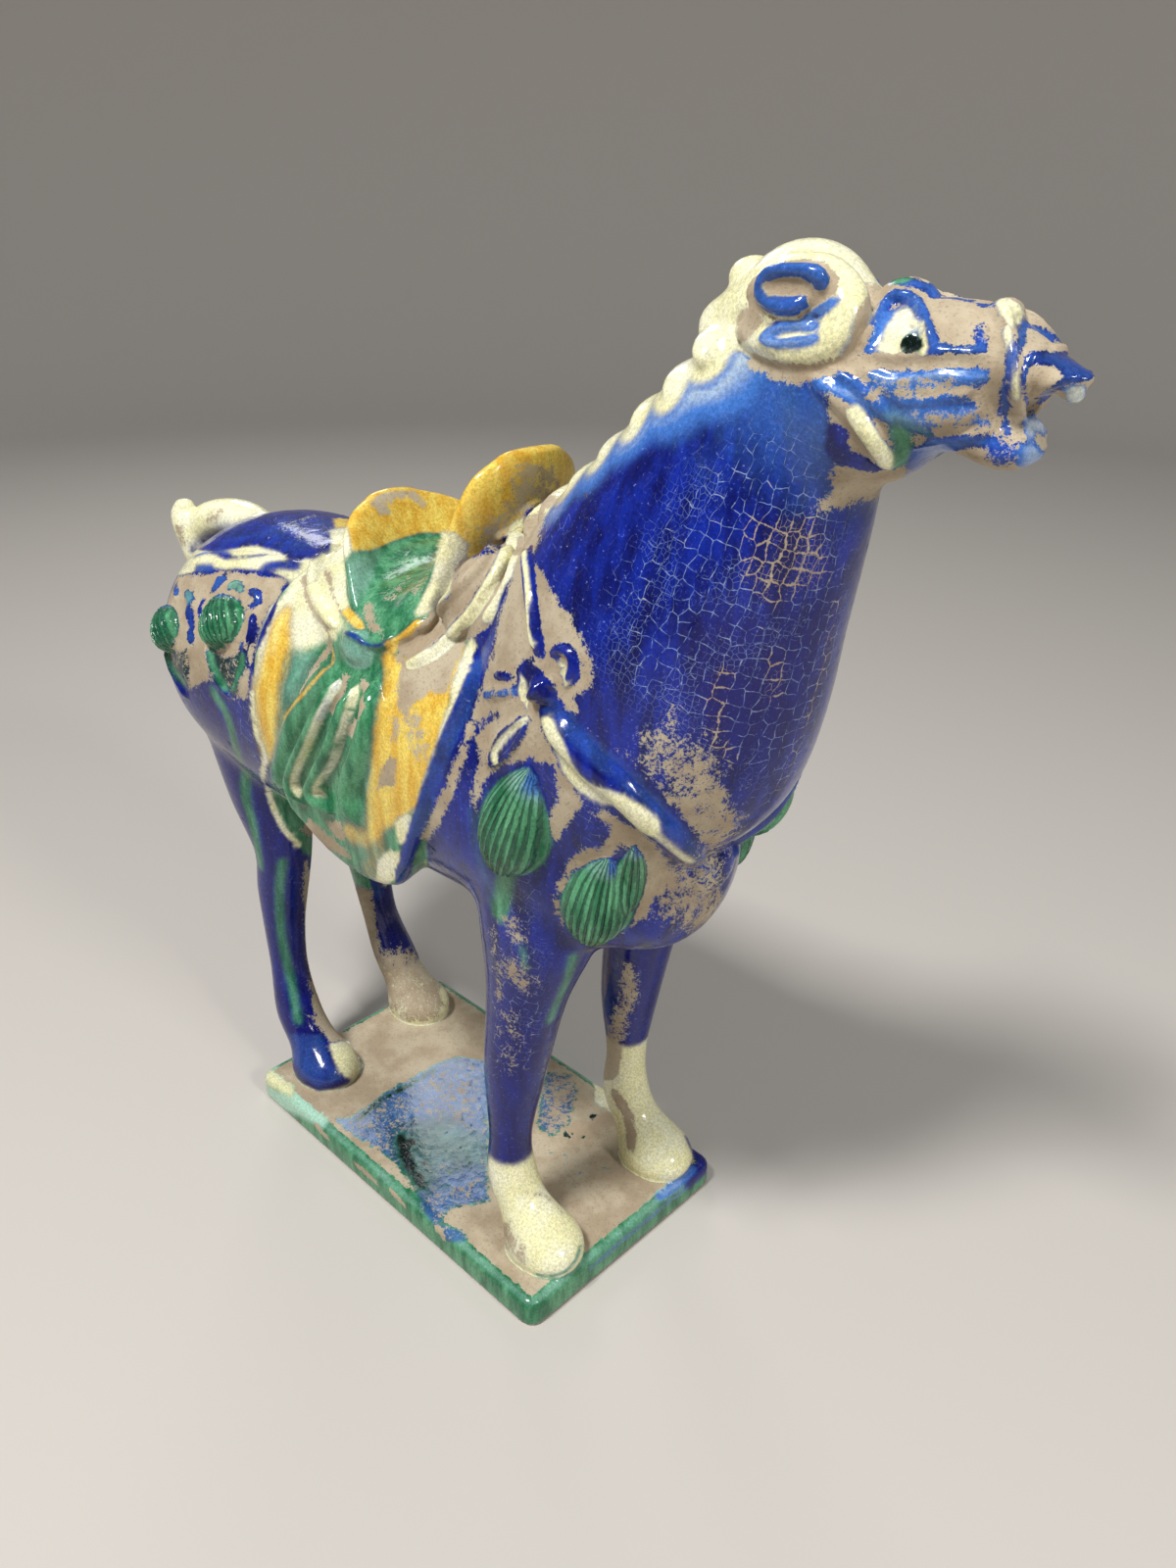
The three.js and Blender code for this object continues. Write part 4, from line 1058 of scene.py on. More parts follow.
# %% Brushwork: crackle, violet and scratches
TONES_BRUSHWORK = {
    "neck crackle": ("crackle", 0.95, FILL, 6, [
        (639, 564), (676, 512), (725, 466), (771, 414), (826, 438), (869, 521), (863, 616), (844, 695),
        (814, 772), (774, 818), (749, 781), (694, 744), (651, 720), (609, 674)]),
    "front crackle": ("crackle", 1, 5, 4, [(856, 616), (841, 680), (820, 741), (795, 803)]),
    "chest crackle": ("crackle", 0.9, FILL, 3, [(593, 817), (626, 823), (623, 855), (596, 860)]),
    "foreleg crackle": ("crackle", 0.9, FILL, 4, [
        (497, 964), (556, 964), (556, 1035), (544, 1093), (503, 1093)]),
    "shoulder crackle": ("crackle", 0.8, FILL, 4, [(521, 888), (556, 888), (547, 947), (506, 947)]),
    "rump crackle": ("crackle", 1, FILL, 4, [(237, 715), (263, 715), (276, 804), (255, 798)]),
    "rump crackle, rear": ("crackle", 1, FILL, 3, [(195, 699), (211, 697), (208, 725), (200, 725)]),
    "pommel crackle": ("crackle", 1, FILL, 2, [
        (516, 486), (535, 469), (568, 474), (576, 501), (550, 520), (510, 569), (464, 636), (431, 670),
        (440, 624), (464, 562), (489, 541)]),
    "mane foot crackle": ("crackle", 0.8, FILL, 2, [
        (549, 513), (575, 506), (587, 535), (556, 562), (541, 541)]),
    "neck violet": ("violet", 0.9, FILL, 7, [
        (694, 695), (734, 631), (786, 628), (872, 591), (872, 616), (835, 714), (774, 818), (743, 787),
        (700, 751)]),
    "rump violet": ("violet", 1, FILL, 5, [
        (192, 699), (218, 697), (250, 765), (271, 830), (250, 856), (218, 791)]),
    "rump scratches": ("wear", 1, FILL, 4, [
        (265, 534), (323, 514), (365, 506), (349, 545), (323, 546), (286, 540)]),
    "neck scratches": ("wear", 0.8, FILL, 6, [(557, 549), (639, 512), (670, 616), (639, 695), (602, 683)]),
}
brush(TONES_BRUSHWORK)

# %% Brushwork: rump
RUMP_BRUSHWORK = {
    "rump panel": ("bare", 0.9, FILL, 1.2, [
        (169, 587), (226, 582), (293, 589), (288, 605), (273, 631), (263, 657), (256, 689), (255, 715),
        (239, 712), (226, 699), (213, 693), (194, 704), (179, 689), (164, 670), (150, 647), (156, 608)]),
    "rump top": ("muzzle", 0.8, FILL, 4, [
        (193, 557), (206, 545), (226, 535), (266, 526), (296, 520), (322, 514), (355, 510), (359, 530),
        (342, 548), (309, 567), (259, 558), (226, 557)]),
    "crupper band": ("cream", 1, FILL, 1, [
        (171, 582), (179, 568), (192, 560), (226, 563), (258, 557), (286, 564), (299, 576), (313, 570),
        (323, 575), (297, 591), (271, 582), (245, 580), (205, 582), (169, 590)]),
    "crupper blotch a": ("cobalt", 0.9, 1.4, 1.6, [(201, 580), (216, 580)]),
    "crupper blotch b": ("muzzle", 0.9, 2, 1.8, [(271, 580), (286, 576), (302, 578)]),
    "crupper blotch c": ("lightblue", 0.9, 1.2, 1.6, [(200, 567), (219, 563), (233, 567)]),
    "crupper edge": ("blue", 0.7, 1, 0.9, [(179, 568), (195, 561), (226, 566), (250, 568), (271, 566)]),
    "hook a": ("cobalt", 1, 1.3, 0.6, [(219, 601), (223, 592), (227, 590)]),
    "hook b": ("sea", 1, 1.3, 0.7, [(235, 597), (242, 596), (246, 602)]),
    "hook c": ("muzzle", 1, 1.3, 0.6, [(256, 603), (262, 605), (263, 613), (258, 617)]),
    "hook d": ("blue", 1, 1.5, 0.8, [(257, 631), (258, 643), (255, 652)]),
    "hook e": ("cobalt", 1, 1.2, 0.6, [(175, 597), (179, 598), (180, 604)]),
    "hook f": ("teal", 1, 1.2, 0.6, [(189, 605), (194, 607), (192, 613)]),
    "hook g": ("muzzle", 1, 1.3, 0.7, [(192, 623), (196, 636), (195, 652)]),
    "hook h": ("cobalt", 0.9, 1.2, 0.8, [(247, 659), (251, 667), (249, 677)]),
    "rim of tassel 2": ("blue", 0.9, 1, 0.7, [(207, 613), (204, 626), (206, 643)]),
    "rim of tassel 1": ("blue", 0.9, 1.2, 0.7, [(160, 626), (158, 639), (162, 656)]),
    "skirt of tassel 2": ("ink", 0.6, FILL, 1.4, [
        (210, 666), (219, 659), (230, 670), (249, 663), (253, 682), (244, 692), (240, 711), (223, 700),
        (211, 683)]),
    "skirt of tassel 2, light": ("green", 0.75, 1.2, 1, [(215, 666), (219, 682), (230, 702)]),
    "skirt of tassel 2, right": ("green", 0.75, 1.2, 1, [(247, 671), (243, 686), (237, 703)]),
    "skirt of tassel 1": ("ink", 0.58, FILL, 1.2, [
        (165, 661), (176, 664), (193, 661), (195, 686), (190, 703), (176, 692), (168, 679)]),
    "skirt of tassel 1, light": ("green", 0.7, 1.1, 1, [(170, 666), (178, 683), (188, 696)]),
    "tail worn": ("bare", 0.7, 2, 1.2, [(184, 541), (186, 551)]),
    "tail worn, right": ("bare", 0.62, 2, 1.5, [(215, 530), (224, 523)]),
    "scratches": ("bare", 0.56, 1.4, 1.6, [(296, 536), (322, 526), (344, 519)], SEEN),
    "scratches, low": ("bare", 0.52, 1.4, 1.6, [(309, 545), (344, 538)], SEEN),
    "green run": ("green", 0.75, 2.2, 2, [
        (218, 707), (232, 731), (241, 765), (250, 804), (258, 843), (265, 882)], SEEN),
    "green run, leg": ("green", 0.7, 1.8, 1.8, [
        (288, 880), (285, 915), (288, 960), (298, 1006), (304, 1041)], SEEN),
}
brush(RUMP_BRUSHWORK)

# %% Brushwork: saddle cloth
CLOTH_BRUSHWORK = {
    "rear ground": ("cream", 1, FILL, 1.5, [
        (276, 619), (296, 606), (322, 589), (342, 619), (339, 646), (322, 666), (296, 679), (286, 719),
        (282, 765), (273, 779), (261, 745), (258, 692), (266, 646)]),
    "rear cream": ("cream", 1, FILL, 3, [
        (296, 593), (316, 575), (342, 562), (342, 593), (350, 624), (351, 639), (336, 654), (333, 670),
        (308, 682), (296, 667), (285, 624)]),
    "rear amber": ("amber", 1, FILL, 3.2, [
        (281, 630), (296, 624), (299, 660), (304, 685), (293, 709), (284, 746), (279, 781), (268, 765),
        (261, 734), (259, 703), (268, 667)]),
    "pleats": ("green", 1, FILL, 2, [
        (305, 682), (327, 660), (342, 651), (351, 685), (391, 688), (388, 716), (382, 777), (376, 823),
        (372, 847), (354, 847), (327, 838), (296, 826), (277, 818), (277, 783), (284, 758), (293, 709)]),
    "hem green": ("green", 1, FILL, 1.2, [
        (277, 815), (296, 826), (327, 838), (357, 849), (382, 849), (409, 833), (417, 863), (394, 869),
        (385, 878), (382, 910), (357, 901), (311, 870), (284, 841)]),
    "pale green": ("sea", 0.9, FILL, 3, [
        (300, 664), (328, 656), (324, 679), (305, 712), (291, 729), (286, 702)]),
    "olive, rear": ("olive", 0.9, 1.6, 2.2, [(294, 666), (286, 712), (280, 765)]),
    "olive, in green": ("olive", 0.8, 1, 1.4, [(323, 670), (306, 696), (292, 727), (284, 752)]),
    "olive, front": ("olive", 0.9, 1.5, 2, [(398, 696), (391, 725), (385, 762), (377, 798), (373, 835)]),
    "honey, rear": ("honey", 0.8, 1.8, 2.5, [(292, 623), (282, 646), (278, 666)]),
    "olive, corner": ("olive", 0.8, 3, 3, [(355, 848), (375, 848), (399, 832), (405, 805)]),
    "front worn": ("bare", 0.55, FILL, 1.6, [
        (393, 729), (436, 715), (452, 729), (436, 762), (422, 795), (396, 795)]),
    "olive hem": ("amber", 0.5, 4, 3, [(357, 853), (372, 859), (388, 863), (376, 890)]),
    "front amber": ("amber", 1, FILL, 2.2, [
        (394, 667), (415, 670), (464, 654), (477, 660), (470, 685), (458, 725), (449, 755), (437, 786),
        (428, 823), (409, 837), (380, 852), (380, 801), (392, 746), (397, 700)]),
    "yellow green strip": ("amber", 0.55, 2, 1.5, [
        (394, 673), (395, 700), (391, 731), (386, 777), (380, 820), (382, 847)]),
    "rear yellow line": ("amber", 0.8, 0.9, 0.9, [(339, 660), (333, 682), (311, 706), (290, 734)]),
    "front bare": ("bare", 1, FILL, 1, [
        (403, 665), (421, 679), (446, 667), (464, 651), (477, 636), (477, 654), (464, 682), (460, 697),
        (452, 709), (440, 705), (421, 720), (412, 734), (406, 722), (406, 697), (409, 682)]),
    "front bare streak": ("bare", 0.75, 1.2, 1.2, [(403, 734), (402, 758)]),
    "front bare low": ("bare", 0.95, FILL, 0.8, [(397, 771), (405, 775), (402, 801), (385, 806), (388, 786)]),
    "front worn, low": ("bare", 0.52, 4.5, 2.5, [(421, 740), (431, 765)]),
    "hook groove a": ("bare", 1, 1, 0.8, [(311, 590), (320, 621), (337, 645), (327, 673), (308, 703)]),
    "hook groove b": ("bare", 1, 0.9, 0.7, [(337, 569), (339, 599), (351, 627)]),
    "pleat cream a": ("cream", 1, 1.2, 0.8, [(345, 697), (327, 731), (313, 765), (301, 794), (304, 809)]),
    "pleat cream b": ("cream", 1, 1.1, 0.8, [(363, 703), (351, 740), (340, 777), (323, 804), (328, 812)]),
    "pleat pale": ("glassy", 0.8, 1.1, 1, [(346, 696), (336, 713), (325, 735)]),
    "pleat bare a": ("bare", 0.9, 1.3, 0.7, [(353, 693), (348, 709), (340, 725)]),
    "pleat bare b": ("bare", 0.95, 1.4, 0.7, [(371, 699), (368, 722), (359, 746)]),
    "hem bare a": ("bare", 0.9, FILL, 0.8, [
        (305, 847), (316, 835), (330, 847), (351, 866), (366, 881), (345, 872), (320, 856)]),
    "hem bare b": ("bare", 0.9, FILL, 0.8, [(333, 838), (348, 838), (353, 859), (342, 856)]),
    "rear edge blue": ("blue", 1, 1.1, 0.7, [(293, 599), (278, 624), (264, 654), (258, 682)]),
    "rear edge cream": ("cream", 1, 0.9, 0.7, [
        (257, 709), (261, 746), (270, 777), (274, 807), (287, 841), (305, 863)]),
    "front edge cream": ("cream", 1, 1, 0.7, [(461, 725), (451, 755), (437, 795), (425, 832), (417, 853)]),
    "front edge cream, top": ("cream", 1, FILL, 0.8, [
        (481, 648), (487, 660), (483, 682), (470, 716), (461, 726), (461, 700), (470, 676)]),
    "corner cream": ("cream", 1, FILL, 0.8, [(386, 879), (394, 870), (414, 869), (411, 893), (383, 910)]),
    "corner cream, upper": ("cream", 1, FILL, 0.8, [(403, 838), (418, 829), (417, 859), (406, 861)]),
    "edge strap": ("muzzle", 1, 2.1, 0.6, [
        (519, 599), (506, 639), (490, 676), (475, 716), (458, 755), (443, 795), (431, 832), (421, 863),
        (412, 893), (388, 913)]),
}
brush(CLOTH_BRUSHWORK)

# %% Brushwork: saddle
SADDLE_BRUSHWORK = {
    "seat green": ("green", 1, FILL, 1.2, [
        (356, 562), (382, 561), (403, 550), (431, 541), (455, 544), (452, 562), (440, 593), (421, 627),
        (403, 651), (385, 642), (366, 639), (351, 630), (346, 599), (350, 575)]),
    "cantle amber": ("amber", 1, FILL, 1.2, [
        (339, 520), (354, 501), (403, 495), (446, 498), (470, 513), (460, 544), (431, 543), (403, 550),
        (379, 562), (360, 565), (354, 541), (342, 538)]),
    "cantle cream": ("cream", 1, FILL, 1.2, [
        (337, 541), (354, 538), (359, 562), (353, 578), (350, 599), (353, 624), (343, 611), (339, 572)]),
    "cantle bare": ("bare", 0.62, FILL, 1.2, [(372, 510), (397, 506), (403, 513), (397, 532), (379, 520)]),
    "cantle bare, top": ("bare", 0.8, 1.4, 0.8, [(403, 505), (421, 504), (431, 513)]),
    "seat bare": ("bare", 0.62, FILL, 2, [
        (389, 605), (406, 595), (434, 579), (446, 569), (441, 587), (421, 615), (403, 616), (394, 615)]),
    "seat bare, low": ("bare", 0.72, FILL, 1.4, [
        (372, 611), (379, 608), (385, 633), (397, 651), (376, 647), (368, 630)]),
    # painted highlight: pale green on the left of the seat
    "seat highlight": ("sea", 0.9, FILL, 2.6, [
        (350, 569), (366, 564), (389, 562), (386, 586), (373, 611), (359, 629), (353, 609)]),
    "seat rim cream": ("cream", 0.95, 0.9, 0.8, [(346, 543), (347, 576), (351, 609), (357, 632)]),
    "seat amber streak": ("olive", 0.85, 1.6, 1.6, [(446, 564), (431, 585), (416, 602), (406, 616)]),
    "seat foot amber": ("amber", 0.9, 1.4, 0.8, [(353, 624), (368, 639)]),
    "pommel foot amber": ("amber", 0.9, 1.6, 1, [(428, 636), (415, 651), (400, 659)]),
    "pommel cream": ("cream", 1, FILL, 0.9, [
        (451, 544), (464, 544), (478, 555), (474, 572), (463, 587), (460, 605), (446, 618), (434, 627),
        (421, 630), (440, 593)]),
    "pommel bare": ("bare", 1, FILL, 0.9, [
        (475, 566), (486, 570), (510, 561), (550, 513), (559, 501), (575, 510), (544, 526), (504, 578),
        (464, 636), (431, 670), (409, 667), (403, 660), (428, 639), (446, 618), (460, 607), (464, 584)]),
    "pommel worn": ("bare", 0.6, FILL, 2, [
        (519, 486), (535, 469), (568, 474), (576, 501), (550, 513), (510, 561), (489, 562), (487, 538),
        (516, 513)]),
}
brush(SADDLE_BRUSHWORK)

# %% Brushwork: folds in front of the saddle
FOLDS_BRUSHWORK = {
    "fold ground": ("bare", 1, FILL, 0.9, [
        (409, 673), (434, 667), (464, 636), (504, 578), (544, 523), (559, 510), (544, 569), (526, 587),
        (519, 599), (504, 636), (489, 648), (464, 654), (446, 668), (421, 680)]),
    "front fold cream": ("cream", 1, 1.7, 0.8, [
        (417, 677), (434, 671), (449, 663), (464, 644), (478, 630), (492, 610), (504, 590), (516, 566),
        (527, 541), (544, 520)]),
    "knot fold": ("cream", 0.9, 1, 0.7, [(342, 651), (327, 624), (320, 593), (323, 578), (336, 566)]),
    "lower fold cream": ("cream", 1, 1.5, 0.9, [(496, 630), (507, 611), (516, 590), (524, 569)]),
    "lower fold blue": ("blue", 1, 1.1, 0.6, [(486, 667), (495, 651), (506, 636), (516, 605), (523, 593)]),
}
brush(FOLDS_BRUSHWORK)

# %% Brushwork: withers and chest
CHEST_BRUSHWORK = {
    "harness ground": ("bare", 0.9, FILL, 0.9, [
        (510, 627), (521, 592), (529, 568), (548, 576), (564, 604), (580, 627), (592, 648), (604, 675),
        (604, 699), (585, 714), (593, 734), (618, 758), (642, 774), (623, 772), (591, 748), (572, 726),
        (556, 731), (545, 753), (569, 774), (543, 772), (510, 782), (497, 793), (485, 828), (478, 817),
        (492, 769), (481, 753), (470, 788), (459, 823), (438, 857), (430, 855), (446, 817), (470, 764),
        (484, 721), (500, 673)]),
    "withers strap blue": ("blue", 1, 1.9, 0.6, [(536, 563), (538, 587), (540, 614), (544, 640), (549, 663)]),
    "withers strap cream": ("cream", 1, 0.6, 0.5, [
        (534, 563), (537, 587), (538, 614), (538, 640), (543, 659)]),
    "loop blue": ("blue", 1, 1.4, 0.5, [(564, 667), (572, 661), (581, 666), (585, 683), (581, 694)]),
    "loop cream": ("cream", 1, 0.8, 0.5, [(575, 678), (575, 689), (577, 698)]),
    "leaf blue": ("blue", 1, FILL, 0.6, [
        (543, 734), (529, 731), (508, 748), (498, 769), (498, 785), (510, 778), (529, 764)]),
    "leaf cream": ("cream", 1, 0.7, 0.4, [(537, 734), (521, 745), (509, 758), (504, 772), (506, 778)]),
    "junction blue": ("blue", 1, 3.2, 0.7, [(537, 689), (548, 705), (561, 721)]),
    "junction cream": ("cream", 1, 1, 0.6, [(533, 697), (532, 710), (537, 719)]),
    "bit a": ("blue", 0.9, 1, 0.7, [(505, 689), (518, 690)]),
    "bit b": ("lightblue", 0.6, 1.2, 1.2, [(494, 710), (510, 707), (524, 706)]),
    "bit c": ("blue", 0.8, 1, 0.8, [(486, 748), (494, 737), (508, 730)]),
    "over tassel 1": ("bare", 0.9, FILL, 0.9, [
        (545, 731), (556, 748), (569, 774), (588, 801), (596, 817), (580, 839), (575, 828), (569, 801),
        (564, 782), (543, 774), (518, 780), (510, 782), (532, 758)]),
    "by tassel 1": ("bare", 0.9, FILL, 0.9, [
        (569, 774), (588, 801), (588, 817), (580, 839), (569, 857), (545, 877), (520, 887), (537, 863),
        (544, 849), (559, 836), (569, 814), (572, 788)]),
    "by tassel 2": ("bare", 0.85, FILL, 0.9, [
        (588, 871), (604, 863), (615, 868), (623, 844), (601, 828), (618, 825), (634, 839), (652, 844),
        (671, 863), (686, 884), (687, 903), (671, 911), (663, 935), (644, 946), (634, 954), (655, 916),
        (655, 876), (634, 863), (618, 881), (601, 884), (588, 889), (581, 906), (580, 935), (575, 946),
        (565, 927), (567, 906), (575, 887)]),
    "above strap": ("bare", 0.63, FILL, 1.6, [
        (639, 769), (652, 790), (671, 806), (687, 809), (709, 801), (719, 788), (733, 772), (738, 788),
        (749, 820), (764, 833), (749, 857), (735, 871), (722, 877), (709, 857), (687, 836), (663, 806),
        (642, 788)]),
    "above strap, flaked": ("bare", 0.54, FILL, 3, [
        (652, 745), (671, 731), (687, 721), (698, 748), (725, 748), (741, 774), (751, 823), (765, 833),
        (738, 871), (711, 849), (671, 809), (639, 774)]),
    "breast strap blue": ("muzzle", 1, 2.6, 0.7, [
        (563, 723), (579, 739), (599, 759), (619, 777), (639, 792), (659, 815), (682, 842), (705, 868),
        (723, 892)]),
    "breast strap cream": ("cream", 1, 2.9, 1, [
        (557, 746), (569, 767), (586, 787), (606, 805), (626, 819), (646, 833), (659, 843)]),
    "breast strap cream, end": ("cream", 0.75, 1, 1, [(664, 847), (685, 865), (705, 880)]),
    "lumps worn": ("bare", 0.6, FILL, 1.5, [
        (693, 940), (709, 927), (730, 908), (741, 895), (743, 916), (733, 940), (709, 954),
        (695, 948)], SEEN),
    "low chest worn": ("bare", 0.55, FILL, 3, [
        (652, 878), (705, 872), (738, 852), (748, 892), (738, 951), (702, 958), (672, 941), (649, 925),
        (632, 941), (652, 898)], SEEN),
    "low chest teal": ("teal", 0.5, 2.4, 3, [(483, 832), (490, 875), (500, 918)], SEEN),
    "drip a": ("green", 0.85, 2.6, 1.6, [(509, 888), (514, 912), (509, 932)]),
    "drip b": ("green", 0.6, 1.2, 1.2, [(533, 967), (536, 988)], SEEN),
    "drip c": ("green", 0.7, 1.6, 1.6, [(585, 976), (577, 1005), (562, 1041)], SEEN),
}
brush(CHEST_BRUSHWORK)

# %% Brushwork: tassels
rib_place = np.zeros((len(points), 3))
for tassel, ribs in zip(tassels, rib_counts):
    u, v = across_tassel(points, normals, *tassel)
    on_egg = ease(np.abs(v), 1.2, 0.95) * ease(np.abs(u - 0.5), 0.56, 0.47)
    here = on_egg > 0
    bowed = np.clip(v, -1.2, 1.2) * (1 + 0.25 * np.sin(np.pi * np.clip(u, 0, 1)))
    rib_place[here] = np.stack([0.1 * ribs * bowed, 0.1 * u, 0.1 * on_egg], axis=1)[here]
    lay("sea", on_egg)
    lay("green", on_egg * ease(u, 0.1, 0.35))
    lay("cobalt", on_egg * 0.8 * ease(u, 0.22, 0.06) * ease(v, -0.2, 0.3))
attribute = mesh.attributes.new("rib_place", "FLOAT_VECTOR", "POINT")
attribute.data.foreach_set("vector", rib_place.astype(np.float32).ravel())

# %% Brushwork: neck
NECK_BRUSHWORK = {
    "throat bare": ("bare", 0.9, FILL, 1.2, [
        (860, 432), (875, 438), (900, 463), (900, 509), (875, 512), (856, 518), (826, 523), (847, 503),
        (850, 478), (860, 469), (853, 451)]),
    "throat curl": ("blue", 1, 1.9, 0.7, [(856, 444), (853, 460), (862, 468), (876, 472), (891, 476)]),
    "crossings flaked": ("opened", 1, FILL, 5, [
        (752, 521), (841, 521), (856, 591), (786, 631), (749, 591)], SEEN),
    "low flaked": ("opened", 0.9, FILL, 4, [(774, 656), (811, 659), (804, 726), (774, 726)], SEEN),
    "streak flaked": ("opened", 1, 2.5, 2.5, [(740, 689), (731, 714), (731, 751), (743, 772)], SEEN),
    "right edge flaked": ("opened", 0.8, 2.5, 3, [(853, 616), (841, 680), (820, 741), (795, 803)], SEEN),
}
brush(NECK_BRUSHWORK)

# %% Brushwork: head
HEAD_BRUSHWORK = {
    "cheek": ("haze", 0.52, FILL, 2, [
        (879, 385), (911, 380), (971, 377), (1007, 382), (1011, 391), (991, 401), (999, 413), (1011, 423),
        (1007, 433), (971, 433), (939, 437), (911, 431), (907, 413), (891, 403)]),
    "jaw side light": ("lightblue", 1, FILL, 1.5, [
        (826, 380), (851, 377), (869, 389), (891, 401), (909, 415), (915, 431), (891, 428), (871, 414),
        (851, 404), (833, 395)]),
    "throat strap blue": ("cobalt", 1, 1.1, 0.7, [(847, 380), (867, 389), (885, 402), (903, 418)]),
    "throat under blue": ("cobalt", 0.7, FILL, 1.6, [
        (919, 493), (931, 476), (955, 467), (975, 460), (971, 471), (947, 487), (923, 499)]),
    "throat fold cream": ("cream", 1, 1.6, 0.8, [(872, 423), (886, 445), (899, 463), (909, 476)]),
    "throat fold green": ("green", 0.85, 1.9, 1.6, [(918, 441), (924, 455), (918, 473), (911, 499)]),
    # painted highlight along the upper ridge of the cheek
    "cheek ridge highlight": ("lightblue", 1, 0.9, 0.7, [(891, 381), (911, 386), (939, 384), (971, 380), (1003, 384)]),
    "cheek bare a": ("bare", 0.85, 0.8, 0.6, [(885, 389), (919, 392), (971, 391)]),
    "cheek blue a": ("lightblue", 0.62, 0.8, 1, [(893, 392), (919, 397), (955, 396), (987, 394)]),
    "cheek bare b": ("bare", 0.95, 1, 0.7, [(891, 403), (931, 404), (963, 402), (991, 401)]),
    "cheek blue b": ("cobalt", 0.8, 1, 1, [(903, 407), (939, 413), (967, 411), (987, 408)]),
    "cheek blue c": ("haze", 0.6, FILL, 1.6, [
        (911, 422), (955, 425), (987, 421), (1007, 426), (1011, 433), (971, 433), (939, 440), (919, 433)]),
    "cheek bare c": ("bare", 1, FILL, 0.9, [
        (991, 393), (1019, 389), (1028, 399), (1027, 419), (1011, 424), (999, 412), (987, 405)]),
    "cheek bare d": ("bare", 0.8, 0.9, 0.8, [(919, 425), (955, 428), (995, 425)]),
    "cheek teal": ("teal", 0.8, 1.4, 1.2, [(907, 423), (931, 436), (947, 443)]),
    "jaw under blue": ("cobalt", 1, FILL, 1, [
        (931, 458), (955, 447), (987, 443), (1016, 446), (1020, 454), (991, 456), (959, 465), (947, 471),
        (931, 480), (922, 496), (927, 473)]),
    "nose line": ("cobalt", 0.85, 0.9, 0.8, [(952, 302), (979, 305), (1013, 310)]),
    "nose side blue": ("cobalt", 0.95, FILL, 0.8, [
        (953, 347), (971, 351), (991, 353), (1011, 350), (1009, 359), (987, 362), (957, 359)]),
    "nose speck": ("cobalt", 0.62, 1.4, 1.2, [(999, 334), (1000, 345)]),
    "brow cream": ("cream", 1, FILL, 0.8, [
        (888, 358), (896, 337), (911, 316), (925, 309), (936, 319), (929, 334), (920, 344), (914, 358),
        (901, 361)]),
    "brow blue": ("cobalt", 1, 1.2, 0.8, [
        (882, 355), (889, 339), (903, 310), (913, 302), (929, 304), (941, 319), (949, 341), (954, 356)]),
    "brow inner blue": ("lightblue", 0.8, 0.8, 0.8, [(891, 357), (899, 335), (912, 319)]),
    "eye lid cream": ("cream", 0.95, 0.8, 0.5, [
        (913, 359), (918, 345), (926, 333), (935, 329), (941, 335), (943, 349), (941, 359)]),
    # painted highlight: a small glint in the eye
    "eye glint": ("glassy", 0.9, 1.3, 0.5, [(928, 343), (933, 339)]),
    "pupil": ("ink", 1, 1.5, 0.4, [(929, 351), (931, 352)]),
    "forehead green": ("green", 1, 1.5, 1.2, [(917, 285), (925, 285)]),
    "forehead blue": ("cobalt", 0.9, 1.1, 0.8, [(931, 289), (943, 291), (954, 297)]),
    "noseband cream": ("cream", 1, FILL, 0.8, [
        (1016, 306), (1029, 302), (1043, 312), (1048, 323), (1042, 333), (1029, 331), (1019, 320)]),
    "noseband low": ("cream", 0.8, 0.8, 0.7, [(1027, 335), (1032, 363), (1036, 385), (1036, 407)]),
    "noseband blue": ("cobalt", 0.8, 0.9, 0.7, [
        (1040, 338), (1032, 365), (1028, 381), (1025, 423), (1028, 439)]),
    "muzzle blue": ("muzzle", 1, FILL, 0.6, [
        (1042, 363), (1052, 358), (1072, 358), (1094, 359), (1110, 371), (1124, 380), (1113, 388),
        (1092, 392), (1072, 402), (1060, 410), (1055, 408), (1072, 394), (1086, 385), (1079, 376),
        (1064, 372), (1048, 372)]),
    "muzzle top": ("cobalt", 0.8, 0.9, 0.6, [(1047, 330), (1072, 347), (1094, 362)]),
    "nostril edge": ("cobalt", 0.8, 0.5, 0.5, [(1048, 372), (1045, 391), (1048, 411), (1052, 422)]),
    "lip low blue": ("lightblue", 1, FILL, 1, [
        (1038, 455), (1052, 450), (1072, 463), (1075, 471), (1052, 482), (1039, 476)]),
    "lip low cream": ("glassy", 0.9, 1.4, 0.9, [(1050, 433), (1064, 436), (1074, 443), (1074, 459)]),
    "chin worn": ("cobalt", 0.6, 2.4, 2, [(1017, 455), (1025, 471)]),
    "teeth": ("glassy", 1, FILL, 0.5, [(1086, 394), (1108, 391), (1109, 407), (1099, 416), (1085, 408)]),
    "ear curl": ("lightblue", 1, 1, 0.7, [(851, 308), (839, 316), (824, 326)]),
    "ear curl low": ("lightblue", 1, 1, 0.7, [
        (833, 333), (806, 333), (782, 341), (780, 347), (794, 351), (814, 349), (831, 346)]),
    "roll streak": ("lightblue", 0.7, 0.9, 1, [(873, 330), (870, 347), (859, 361)]),
    "behind ear": ("bare", 1, FILL, 0.8, [
        (755, 317), (770, 313), (777, 331), (770, 343), (754, 351), (752, 339)]),
    "under roll": ("bare", 1, 1.5, 0.9, [
        (770, 369), (808, 380), (847, 377), (870, 362), (877, 343), (885, 317), (888, 296)]),
}
brush(HEAD_BRUSHWORK)

